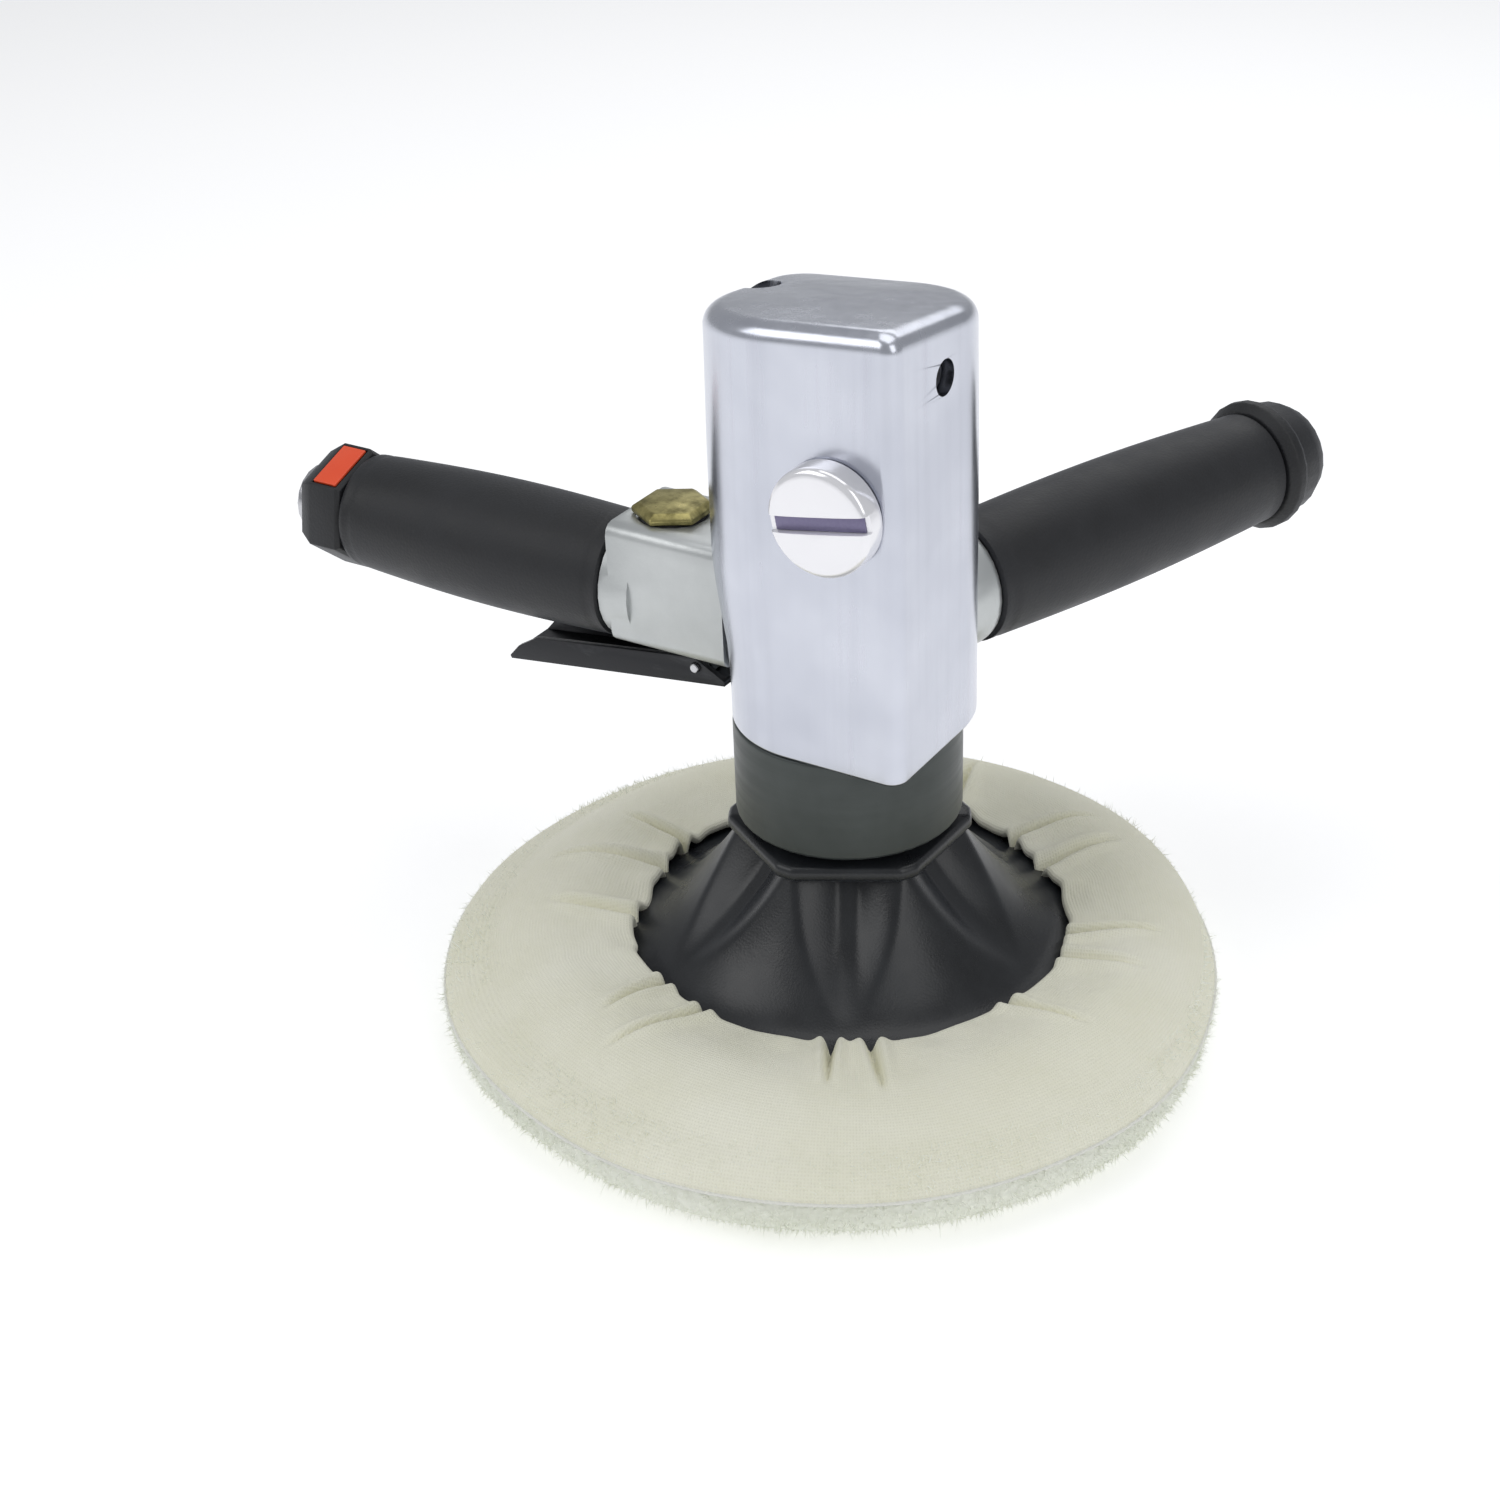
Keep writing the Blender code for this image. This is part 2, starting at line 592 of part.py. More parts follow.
def make_bonnet(looks, axis):
    pile = [(0, 0.0), (BONNET_R - 9.0, 0.0)]
    for step in range(1, 6):
        angle = math.radians(-90 + 170 * step / 5)
        pile.append((BONNET_R - 9.0 + 9.0 * math.cos(angle),
                     BONNET_H / 2 + (BONNET_H / 2) * math.sin(angle)))
    pile += [(BONNET_R - 10.8, BONNET_H - 2.0), (BONNET_R - 11.6, 11.6), (0, 11.6)]
    lathe("bonnet_pile", looks["pile"], pile, 40, parent=axis)
    hem = BONNET_OPENING_R + 2.3
    skirt = [
        (86.3, 24.2), (86.7, 25.4), (70.0, 27.1), (62.6, 28.0), (61.2, 29.9), (59.9, 30.0),
        (59.2, 28.6), (59.8, 26.6), (70.0, 25.9),
    ]
    lathe("bonnet_skirt", looks["cloth"], skirt, 36, parent=axis)
    finish(torus_mesh(hem, 1.3, 28.6, 32, 5), "bonnet_elastic", looks["elastic"], parent=axis)


# ---- throttle handle ---------------------------------------------------------------------------
def barrel(near, far, bore, steps=6):
    """Closed profile of a barrel grip on its tube, from its near end to its far end."""
    points = [(bore, near), (GRIP_NEAR_R - 0.6, near)]
    for step in range(steps + 1):
        share = step / steps
        straight = GRIP_NEAR_R + (GRIP_FAR_R - GRIP_NEAR_R) * share
        rise = GRIP_MID_R - (GRIP_NEAR_R + GRIP_FAR_R) / 2
        points.append((straight + rise * math.sin(math.pi * share),
                       near + 0.6 + (far - near - 1.2) * share))
    points += [(GRIP_FAR_R - 0.6, far), (bore, far)]
    return points


def make_throttle_body(looks):
    bm = box_mesh((-BODY_FAR, -BODY_HALF_W, BODY_BOTTOM), (-BODY_NEAR, BODY_HALF_W, BODY_TOP))
    long_edges = [e for e in bm.edges if abs(e.verts[0].co.x - e.verts[1].co.x) > 1.0]
    bmesh.ops.bevel(bm, geom=long_edges, offset=3.0, segments=3, profile=0.5, affect="EDGES")
    body = finish(bm, "throttle_body", looks["cast"], smooth=30)
    boolean(body, rod_cutter("ferrule_core", 15.2, 8.4, (-53.0, 0, HANDLE_Z),
                             (0, -90, 0), 28), "UNION")
    lug = box_cutter("lug_core", (-42.0, -5.0, 89.6), (-35.2, 5.0, 97.0))
    boolean(body, lug, "UNION")
    boolean(body, housing_clearance("cut_body_seat"))
    valve_hole = [
        (0, 94.0), (2.1, 94.0), (2.1, 98.0), (4.6, 98.0), (4.6, 103.0), (7.0, 103.0),
        (7.0, 126.8), (9.5, 126.8), (9.5, 131.0), (0, 131.0),
    ]
    boolean(body, lathe("cut_valve_bore", None, valve_hole, 20, location=(VALVE_X, 0, 0)))
    boolean(body, rod_cutter("cut_inlet_bore", 9.8, 12.0, (-55.6, 0, HANDLE_Z), (0, -90, 0)))
    boolean(body, rod_cutter("cut_inlet_neck", 5.5, 12.0, (VALVE_X, 0, HANDLE_Z + 1.0), (0, -90, 0)))
    boolean(body, rod_cutter("cut_motor_port", 3.0, 24.0, (VALVE_X, 0, 100.6), (0, 90, 0)))
    boolean(body, rod_cutter("cut_pivot_hole", LEVER_PIN_R + 0.15, 16.0, (LEVER_PIVOT_X, 8.0, LEVER_PIVOT_Z),
                             (90, 0, 0), 16))


def make_valve(looks):
    hexagon = lathe_mesh([(0, 128.1), (10.2, 128.1), (10.4, 129.5), (8.6, 130.7), (0, 130.9)], 6, 30)
    cap = finish(hexagon, "valve_cap", looks["brass"], location=(VALVE_X, 0, 0), smooth=25)
    shank = [
        (0, 118.6), (6.6, 118.6), (6.6, 128.8), (0, 128.8),
    ]
    boolean(cap, lathe("cap_shank_core", None, shank, 20, location=(VALVE_X, 0, 0)), "UNION")
    finish(torus_mesh(8.1, 0.5, 127.4, 24, 5), "valve_cap_o_ring", looks["nitrile"],
           location=(VALVE_X, 0, 0))
    stem = [
        (0, 87.8), (1.5, 88.0), (1.8, 88.6), (1.8, 101.0), (3.6, 103.3), (5.4, 103.3),
        (5.4, 106.6), (2.0, 106.6), (2.0, 110.5), (0, 110.5),
    ]
    lathe("valve_stem", looks["steel"], stem, 14, location=(VALVE_X, 0, 0))
    turns = 4.0
    steps = 40
    curve = bpy.data.curves.new("valve_spring", "CURVE")
    curve.dimensions = "3D"
    curve.resolution_u = 1
    curve.render_resolution_u = 0
    curve.bevel_depth = mm(0.5)
    curve.bevel_resolution = 0
    curve.use_fill_caps = True
    spline = curve.splines.new("POLY")
    spline.points.add(steps)
    for i in range(steps + 1):
        angle = 2 * math.pi * turns * i / steps
        height = 107.6 + (117.7 - 107.6) * i / steps
        spline.points[i].co = (mm(4.2 * math.cos(angle)), mm(4.2 * math.sin(angle)), mm(height), 1.0)
    curve.materials.append(looks["steel"])
    spring = bpy.data.objects.new("valve_spring", curve)
    bpy.context.scene.collection.objects.link(spring)
    spring.location = (mm(VALVE_X), 0, 0)


LEVER_FOOT = (-8.2, -3.4)
LEVER_TIP = (57.6, -11.8)


def lever_outline():
    """Side view of the lever about its pivot, as (x away from the housing, z)."""
    return [LEVER_FOOT, (-8.2, -2.2), (0.5, 2.5), (49.0, -4.0), (55.0, -7.6), (58.0, -11.0), LEVER_TIP]


def side_view_mesh(outline, half_width):
    """A plate drawn in side view, with x away from the housing, laid across the Y axis."""
    bm = plate_mesh(outline, [], -half_width, half_width)
    across = Matrix(((-1, 0, 0, 0), (0, 0, 1, 0), (0, 1, 0, 0), (0, 0, 0, 1)))
    bmesh.ops.transform(bm, matrix=across, verts=bm.verts)
    return bm


def make_lever(looks):
    """A pressed channel whose floor slopes down to its tip, open toward the handle."""
    axis = empty("lever_pivot", (LEVER_PIVOT_X, 0, LEVER_PIVOT_Z))
    half = LEVER_WIDTH / 2
    lever = finish(side_view_mesh(lever_outline(), half), "throttle_lever",
                   looks["black_steel"], parent=axis, smooth=20)
    slope = (LEVER_TIP[1] - LEVER_FOOT[1]) / (LEVER_TIP[0] - LEVER_FOOT[0])
    floor_near = LEVER_FOOT[1] + LEVER_SHEET - 4.0 * slope
    floor_far = LEVER_FOOT[1] + LEVER_SHEET + 74.0 * slope
    trough = [(LEVER_FOOT[0] - 4.0, floor_near), (LEVER_FOOT[0] - 4.0, 9.0),
              (LEVER_FOOT[0] + 74.0, 9.0), (LEVER_FOOT[0] + 74.0, floor_far)]
    boolean(lever, finish(side_view_mesh(trough, half - LEVER_SHEET), "cut_lever_trough", None,
                          parent=axis, smooth=0))
    boolean(lever, rod_cutter("cut_lever_pin_holes", LEVER_PIN_R + 0.15, 24.0, (0, 12.0, 0),
                              (90, 0, 0), 16, parent=axis))
    pin = [(0, -9.6), (1.0, -9.6), (LEVER_PIN_R, -9.4), (LEVER_PIN_R, 9.4), (1.0, 9.6), (0, 9.6)]
    lathe("lever_pin", looks["steel"], pin, 16, parent=axis, rotation=(90, 0, 0))


def make_throttle_handle(looks):
    axis = empty("throttle_handle_axis", (0, 0, HANDLE_Z), (0, -90, 0))
    tube = [(6.4, 56.0), (9.4, 56.0), (9.4, 158.6), (6.4, 158.6)]
    lathe("inlet_tube", looks["steel"], tube, 20, parent=axis)
    lathe("throttle_grip", looks["rubber"], barrel(61.8, 144.4, 9.8), 24, parent=axis)
    collar = lathe("exhaust_collar", looks["rubber"],
                   [(0, 144.9), (15.4, 144.9), (16.4, 146.0), (16.4, 154.5), (13.2, 159.6),
                    (0, 159.6)], 6, turn=30.0 + MARKER_TILT, parent=axis)
    boolean(collar, rod_cutter("cut_collar_bore", 9.9, 20.0, (0, 0, 142.0), segments=28, parent=axis))
    pocket = box_cutter("cut_tab_pocket", (13.3, -7.4, 146.2), (15.6, 7.4, 154.2),
                        rotation=(0, 0, MARKER_TILT), parent=axis)
    boolean(collar, pocket)
    tab = box_mesh((13.6, -7.0, 146.5), (14.6, 7.0, 153.9))
    finish(tab, "collar_marker", looks["red"], rotation=(0, 0, MARKER_TILT), parent=axis, smooth=0)
    bush = [(5.2, 148.0), (6.1, 148.0), (6.1, 159.0), (9.2, 159.0), (9.2, 163.0), (8.6, 163.6),
            (6.6, 163.6), (5.6, 162.0)]
    lathe("inlet_bushing", looks["steel"], bush, 18, parent=axis)
    screen = [(0, 144.0), (6.0, 144.0), (6.0, 147.5), (4.6, 147.5), (4.6, 145.0), (0, 145.0)]
    lathe("inlet_screen", looks["brass"], screen, 16, parent=axis)


def make_side_handle(looks):
    axis = empty("side_handle_axis", (0, 0, HANDLE_Z), (0, 90, SIDE_HANDLE_TURN))
    boss = lathe("side_handle_boss", looks["cast"],
                 [(5.3, 20.0), (15.6, 20.0), (15.6, 34.6), (14.9, 36.8), (5.3, 36.8)],
                 28, parent=axis)
    boolean(boss, housing_clearance("cut_boss_seat"))
    lathe("side_handle_stud", looks["steel"],
          [(0, 24.9), (4.4, 24.9), (5.0, 25.5), (5.0, 52.0), (0, 52.0)], 16, parent=axis)
    tube = [(5.3, 37.1), (10.0, 37.1), (10.0, 143.0), (5.3, 143.0)]
    lathe("side_handle_tube", looks["steel"], tube, 20, parent=axis)
    lathe("side_grip", looks["rubber"], barrel(37.2, 139.6, 10.3), 24, parent=axis)
    cap = [
        (10.3, 139.9), (15.6, 139.9), (17.6, 142.0), (17.6, 144.4), (15.6, 146.6), (15.2, 152.0),
        (12.8, 156.6), (8.0, 158.2), (0, 158.6), (0, 154.0), (10.3, 153.0),
    ]
    lathe("side_end_cap", looks["rubber"], cap, 24, parent=axis)
    lathe("side_end_screw", looks["steel"],
          [(0, 135.0), (5.0, 135.0), (5.0, 143.4), (9.2, 143.4), (9.2, 147.4), (3.0, 147.4),
           (3.0, 144.4), (0, 144.4)], 16, parent=axis)


def main():
    clear_scene()
    looks = make_looks()
    make_housing(looks)
    make_dial(looks)
    make_gear_case(looks)
    make_motor(looks)
    axis = make_spindle(looks)
    make_pad(looks, axis)
    make_bonnet(looks, axis)
    make_throttle_body(looks)
    make_valve(looks)
    make_lever(looks)
    make_throttle_handle(looks)
    make_side_handle(looks)


main()
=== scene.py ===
"""Looks of the air-powered vertical polisher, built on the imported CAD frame. Metres."""

import json
import math

import bmesh
import bpy
import numpy as np
from mathutils import Matrix, Vector


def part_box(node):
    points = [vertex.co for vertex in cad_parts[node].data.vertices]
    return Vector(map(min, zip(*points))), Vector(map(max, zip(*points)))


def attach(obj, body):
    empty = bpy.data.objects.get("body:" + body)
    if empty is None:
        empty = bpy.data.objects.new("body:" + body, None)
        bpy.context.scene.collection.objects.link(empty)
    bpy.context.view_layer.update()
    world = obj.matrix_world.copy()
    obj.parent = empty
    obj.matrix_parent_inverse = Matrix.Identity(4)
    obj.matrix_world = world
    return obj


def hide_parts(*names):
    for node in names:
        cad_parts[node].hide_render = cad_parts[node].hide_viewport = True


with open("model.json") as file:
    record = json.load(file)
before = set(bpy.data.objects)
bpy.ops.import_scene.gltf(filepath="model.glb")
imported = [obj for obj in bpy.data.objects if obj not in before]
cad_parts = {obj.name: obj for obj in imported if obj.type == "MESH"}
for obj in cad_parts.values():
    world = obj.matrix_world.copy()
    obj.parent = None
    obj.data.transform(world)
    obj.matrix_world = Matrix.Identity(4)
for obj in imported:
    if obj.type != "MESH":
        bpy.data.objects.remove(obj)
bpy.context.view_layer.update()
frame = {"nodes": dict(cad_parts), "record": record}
NODES = frame["nodes"]
SCENE = bpy.context.scene
TAU = 2 * math.pi
MM = 0.001
HOUSING_TOP = 187.0 * MM           # the housing's top before it leans
TOP_RISE, TOP_LEAN = 2.5 * MM, 0.147


# ---- camera, floor and light -------------------------------------------------------------------
def make_camera():
    """The studio camera, in front of the ridge of the housing and a little to its right."""
    azimuth, elevation, roll = (math.radians(v) for v in (32.0, 29.2, -1.8))
    turn = Matrix.Rotation(azimuth, 3, "Z")
    place = turn @ Vector((-0.01287, -0.5189, 0.3740))
    forward = turn @ Vector((0, math.cos(elevation), -math.sin(elevation)))
    level = turn @ Vector((1, 0, 0))
    upright = turn @ Vector((0, math.sin(elevation), math.cos(elevation)))
    right = level * math.cos(roll) + upright * math.sin(roll)
    up = upright * math.cos(roll) - level * math.sin(roll)
    data = bpy.data.cameras.new("camera")
    data.sensor_width, data.lens = 36.0, 58.8
    data.shift_x, data.shift_y = -0.0298, -0.0222
    data.clip_start, data.clip_end = 0.01, 50.0
    camera = bpy.data.objects.new("camera", data)
    rotation = Matrix((right, up, -forward)).transposed()
    camera.matrix_world = Matrix.Translation(place) @ rotation.to_4x4()
    SCENE.collection.objects.link(camera)
    SCENE.camera = camera


def area_light(name, place, target, size, watts, colour=(1, 1, 1)):
    data = bpy.data.lights.new(name, "AREA")
    data.shape, data.size, data.size_y = "RECTANGLE", size[0], size[1]
    data.energy, data.color = watts, colour
    light = bpy.data.objects.new(name, data)
    light.location = place
    light.rotation_mode = "QUATERNION"
    light.rotation_quaternion = (Vector(place) - Vector(target)).to_track_quat("Z", "Y")
    SCENE.collection.objects.link(light)
    return light


def make_studio():
    SCENE.view_settings.view_transform = "Standard"
    SCENE.view_settings.look = "None"
    world = bpy.data.worlds.new("studio")
    world.use_nodes = True
    world.node_tree.nodes["Background"].inputs["Color"].default_value = (0.95, 0.97, 1.0, 1)
    world.node_tree.nodes["Background"].inputs["Strength"].default_value = 0.40
    SCENE.world = world
    area_light("key_softbox", (-0.75, -0.80, 0.95), (0, 0, 0.1), (0.9, 0.7), 3.4)
    area_light("fill_softbox", (0.95, -0.35, 0.75), (0, 0, 0.1), (0.6, 0.9), 2.2)
    area_light("top_softbox", (0.0, 0.15, 1.15), (0, 0, 0.1), (0.9, 0.9), 3.0)
    area_light("back_softbox", (-0.2, 1.0, 0.8), (0, 0, 0.1), (1.0, 0.5), 1.8)
    floor = mesh_object("studio_floor", [(-6, -6, -MM * 0.4), (6, -6, -MM * 0.4),
                                         (6, 6, -MM * 0.4), (-6, 6, -MM * 0.4)],
                        [(0, 1, 2, 3)], floor_look())


# ---- meshes ------------------------------------------------------------------------------------
def mesh_object(name, points, faces, look, smooth=None):
    data = bpy.data.meshes.new(name)
    data.from_pydata([tuple(map(float, p)) for p in points], [], [tuple(map(int, f)) for f in faces])
    data.update()
    obj = bpy.data.objects.new(name, data)
    SCENE.collection.objects.link(obj)
    if look:
        data.materials.append(look)
    if smooth:
        smooth_by_angle(obj, smooth)
    return obj


def ring_faces(rings, around, closed=False):
    """Quads between rings of the same number of points; closed joins the last ring to the first."""
    faces = []
    for k in range(rings if closed else rings - 1):
        low, high = k * around, ((k + 1) % rings) * around
        for i in range(around):
            j = (i + 1) % around
            faces.append((low + i, low + j, high + j, high + i))
    return faces


def lathe(name, profile, around, look, matrix=None, smooth=40):
    """A turned piece from (radius, height) points; a profile that starts and ends on the axis closes there."""
    turn = np.arange(around) * TAU / around
    points = [(r * np.cos(turn), r * np.sin(turn), np.full(around, float(h))) for r, h in profile]
    points = np.concatenate([np.stack(p, 1) for p in points])
    on_axis = profile[0][0] < 1e-9 and profile[-1][0] < 1e-9
    faces = ring_faces(len(profile), around, closed=not on_axis)
    bm_points = Matrix.Identity(4) if matrix is None else matrix
    obj = mesh_object(name, points, faces, look)
    weld(obj)
    obj.data.transform(bm_points)
    fix_normals(obj)
    if smooth:
        smooth_by_angle(obj, smooth)
    return obj


def weld(obj, distance=1e-7):
    bm = bmesh.new()
    bm.from_mesh(obj.data)
    bmesh.ops.remove_doubles(bm, verts=bm.verts, dist=distance)
    bmesh.ops.dissolve_degenerate(bm, edges=bm.edges, dist=distance)
    bm.to_mesh(obj.data)
    bm.free()


def fix_normals(obj):
    bm = bmesh.new()
    bm.from_mesh(obj.data)
    bmesh.ops.recalc_face_normals(bm, faces=bm.faces)
    bm.to_mesh(obj.data)
    bm.free()


def smooth_group(angle):
    """A geometry node group that shades smooth and marks each edge sharper than angle."""
    name = "smooth_by_angle_%d" % angle
    if name in bpy.data.node_groups:
        return bpy.data.node_groups[name]
    tree = bpy.data.node_groups.new(name, "GeometryNodeTree")
    tree.interface.new_socket("Geometry", in_out="INPUT", socket_type="NodeSocketGeometry")
    tree.interface.new_socket("Geometry", in_out="OUTPUT", socket_type="NodeSocketGeometry")
    start, end = tree.nodes.new("NodeGroupInput"), tree.nodes.new("NodeGroupOutput")
    faces = tree.nodes.new("GeometryNodeSetShadeSmooth")
    faces.domain = "FACE"
    faces.inputs["Shade Smooth"].default_value = True
    edges = tree.nodes.new("GeometryNodeSetShadeSmooth")
    edges.domain = "EDGE"
    turn = tree.nodes.new("GeometryNodeInputMeshEdgeAngle")
    below = tree.nodes.new("FunctionNodeCompare")
    below.data_type, below.operation = "FLOAT", "LESS_EQUAL"
    below.inputs["B"].default_value = math.radians(angle)
    tree.links.new(turn.outputs["Unsigned Angle"], below.inputs["A"])
    tree.links.new(below.outputs["Result"], edges.inputs["Shade Smooth"])
    tree.links.new(start.outputs[0], faces.inputs["Geometry"])
    tree.links.new(faces.outputs[0], edges.inputs["Geometry"])
    tree.links.new(edges.outputs[0], end.inputs[0])
    return tree


def smooth_by_angle(obj, angle):
    modifier = obj.modifiers.new("smooth", "NODES")
    modifier.node_group = smooth_group(angle)


def bevel(obj, width, angle=35, segments=3):
    modifier = obj.modifiers.new("edges", "BEVEL")
    modifier.width, modifier.segments = width, segments
    modifier.limit_method, modifier.angle_limit = "ANGLE", math.radians(angle)
    modifier.use_clamp_overlap = True
    modifier.miter_outer = "MITER_ARC"


def dress(name, look, edge=0.0, angle=35):
    """Gives a CAD node its material, softened edges and smooth shading; its own mesh isn't changed."""
    node = NODES[name]
    node.data.materials.clear()
    node.data.materials.append(look)
    for attribute in [a for a in node.data.attributes if a.name == "custom_normal"]:
        node.data.attributes.remove(attribute)
    join = node.modifiers.new("join", "WELD")
    join.merge_threshold = 2e-6
    if edge:
        flat = node.modifiers.new("flat", "DECIMATE")
        flat.decimate_type, flat.angle_limit = "DISSOLVE", math.radians(0.4)
        bevel(node, edge, angle)
    smooth_by_angle(node, angle)
    return node


def cut(obj, cutter):
    modifier = obj.modifiers.new("cut", "BOOLEAN")
    modifier.object, modifier.operation, modifier.solver = cutter, "DIFFERENCE", "EXACT"
    settle(obj)
    bpy.data.objects.remove(cutter)


def settle(obj):
    """Applies the modifiers of a new piece to its mesh."""
    graph = bpy.context.evaluated_depsgraph_get()
    made = bpy.data.meshes.new_from_object(obj.evaluated_get(graph))
    obj.modifiers.clear()
    obj.data = made


def arc(centre, radius, start, end, steps):
    turn = np.radians(np.linspace(start, end, steps + 1))
    return [(centre[0] + radius * math.cos(t), centre[1] + radius * math.sin(t)) for t in turn]


def ease(value):
    value = np.clip(value, 0.0, 1.0)
    return value * value * (3 - 2 * value)


def middle(name):
    low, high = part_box(name)
    return (low + high) / 2


def span_on(name, origin, axis):
    """How far a node reaches along an axis from a point, and its largest radius round that axis."""
    points = np.array([v.co for v in NODES[name].data.vertices], float) - np.array(origin)
    along = points @ np.array(axis)
    away = np.linalg.norm(points - np.outer(along, np.array(axis)), axis=1)
    return along.min(), along.max(), away.max()


# ---- materials ---------------------------------------------------------------------------------
class Look:
    """A procedural material, and short calls for the nodes that feed it."""

    def __init__(self, name, **sockets):
        self.material = bpy.data.materials.new(name)
        self.material.use_nodes = True
        self.tree = self.material.node_tree
        self.shader = self.tree.nodes["Principled BSDF"]
        self.place = self.add("ShaderNodeTexCoord").outputs["Object"]
        for socket, value in sockets.items():
            self.put(self.shader, socket, value)

    def add(self, kind, **settings):
        node = self.tree.nodes.new(kind)
        for key, value in settings.items():
            setattr(node, key, value)
        return node

    def put(self, node, socket, value):
        if isinstance(socket, str) and socket not in node.inputs:
            socket = socket.replace("_", " ")
        target = node.inputs[socket]
        if isinstance(value, bpy.types.NodeSocket):
            self.tree.links.new(value, target)
        elif hasattr(value, "__len__") and target.type == "RGBA":
            target.default_value = (*value[:3], 1.0)
        else:
            target.default_value = value

    def noise(self, scale, detail=3.0, rough=0.55, stretch=(1, 1, 1), distortion=0.0, where=None):
        mapping = self.add("ShaderNodeMapping")
        self.put(mapping, "Vector", where or self.place)
        mapping.inputs["Scale"].default_value = stretch
        node = self.add("ShaderNodeTexNoise")
        for key, value in (("Vector", mapping.outputs[0]), ("Scale", scale), ("Detail", detail),
                           ("Roughness", rough), ("Distortion", distortion)):
            self.put(node, key, value)
        return node.outputs["Fac"]

    def wave(self, pitch, along="Z", distortion=0.0, detail=1.0, where=None):
        """Even bands this far apart."""
        node = self.add("ShaderNodeTexWave", bands_direction=along)
        for key, value in (("Vector", where or self.place), ("Scale", TAU / (20 * pitch)),
                           ("Distortion", distortion), ("Detail", detail), ("Detail Scale", 3.0)):
            self.put(node, key, value)
        return node.outputs["Fac"]

    def cells(self, scale, feature="F1", where=None):
        node = self.add("ShaderNodeTexVoronoi", feature=feature)
        self.put(node, "Vector", where or self.place)
        self.put(node, "Scale", scale)
        return node.outputs["Distance"]

    def spread(self, value, low, high, to_low=0.0, to_high=1.0):
        node = self.add("ShaderNodeMapRange")
        for key, amount in (("Value", value), ("From Min", low), ("From Max", high),
                            ("To Min", to_low), ("To Max", to_high)):
            self.put(node, key, amount)
        return node.outputs["Result"]

    def maths(self, operation, a, b):
        node = self.add("ShaderNodeMath", operation=operation)
        self.put(node, 0, a)
        self.put(node, 1, b)
        return node.outputs[0]

    def mix(self, share, a, b):
        node = self.add("ShaderNodeMix", data_type="RGBA")
        self.put(node, 0, share)
        self.put(node, 6, a)
        self.put(node, 7, b)
        return node.outputs[2]

    def bump(self, *layers):
        """Each layer is (height, depth in metres)."""
        normal = None
        for height, depth in layers:
            node = self.add("ShaderNodeBump")
            self.put(node, "Strength", 1.0)
            self.put(node, "Distance", depth)
            self.put(node, "Height", height)
            if normal is not None:
                self.put(node, "Normal", normal)
            normal = node.outputs["Normal"]
        self.put(self.shader, "Normal", normal)

    def set(self, **sockets):
        for socket, value in sockets.items():
            self.put(self.shader, socket, value)
        return self.material


def floor_look():
    look = Look("studio_floor")
    mottle = look.noise(1.5, 3)
    return look.set(Base_Color=look.mix(mottle, (0.93, 0.93, 0.94), (0.96, 0.96, 0.965)), Roughness=0.75,
                    Emission_Color=(1, 1, 1), Emission_Strength=0.34)


def polished_look():
    """Hand-polished casting: one even metal, with fine vertical polish lines on its walls and slow waves.
    The lines also darken the base colour as painted reflection streaks; the rest of its light and dark comes from
    what it reflects."""
    look = Look("polished_aluminium", Metallic=1.0)
    streaks = look.noise(300, 4, stretch=(1, 1, 0.02))
    fine = look.noise(2600, 3, stretch=(1, 1, 0.03))
    clouds = look.noise(28, 3)
    facing = look.add("ShaderNodeSeparateXYZ")
    look.put(facing, "Vector", look.place.node.outputs["Normal"])
    wall = look.spread(facing.outputs[2], 0.35, 0.75, 1.0, 0.0)
    tone = look.mix(look.spread(clouds, 0.35, 0.65), (0.54, 0.56, 0.63), (0.64, 0.66, 0.73))
    # Painted reflection: the polish lines darken the walls' base colour like streaks of dark reflection.
    lines = look.maths("MULTIPLY", look.spread(streaks, 0.50, 0.78, 0, 0.12), wall)
    look.bump((look.noise(60, 2, stretch=(1, 1, 0.35)), 0.00022), (look.maths("MULTIPLY", fine, wall), 0.0000020))
    return look.set(Base_Color=look.mix(lines, tone, (0.40, 0.41, 0.48)),
                    Roughness=look.maths("ADD", look.spread(streaks, 0.3, 0.7, 0.18, 0.25),
                                         look.spread(clouds, 0.3, 0.7, 0.0, 0.06)))


def satin_look():
    """Bead-blasted casting."""
    look = Look("satin_cast_aluminium", Metallic=0.80)
    grain = look.noise(1900, 4, 0.6)
    clouds = look.noise(45, 3)
    look.bump((look.noise(170, 3), 0.00010), (grain, 0.000016))
    return look.set(Base_Color=look.mix(look.spread(clouds, 0.3, 0.7), (0.50, 0.52, 0.52), (0.60, 0.62, 0.62)),
                    Roughness=look.spread(grain, 0.3, 0.7, 0.33, 0.46))


def anodised_look():
    look = Look("dark_grey_anodised", Metallic=0.45)
    turned = look.noise(700, 3, stretch=(0.02, 0.02, 1))
    clouds = look.noise(55, 3)
    look.bump((turned, 0.000010), (look.noise(1500, 3), 0.000006))
    return look.set(Base_Color=look.mix(look.spread(clouds, 0.3, 0.7), (0.052, 0.060, 0.058), (0.072, 0.082, 0.080)),
                    Roughness=look.spread(turned, 0.3, 0.7, 0.34, 0.46))


def chrome_look():
    look = Look("white_chrome", Metallic=0.45)
    scratches = look.noise(900, 4, stretch=(1, 0.3, 0.08))
    look.bump((look.noise(90, 2), 0.00004))
    return look.set(Base_Color=look.mix(look.noise(60, 2), (0.90, 0.90, 0.93), (0.96, 0.95, 0.98)),
                    Roughness=look.spread(scratches, 0.35, 0.75, 0.07, 0.18))


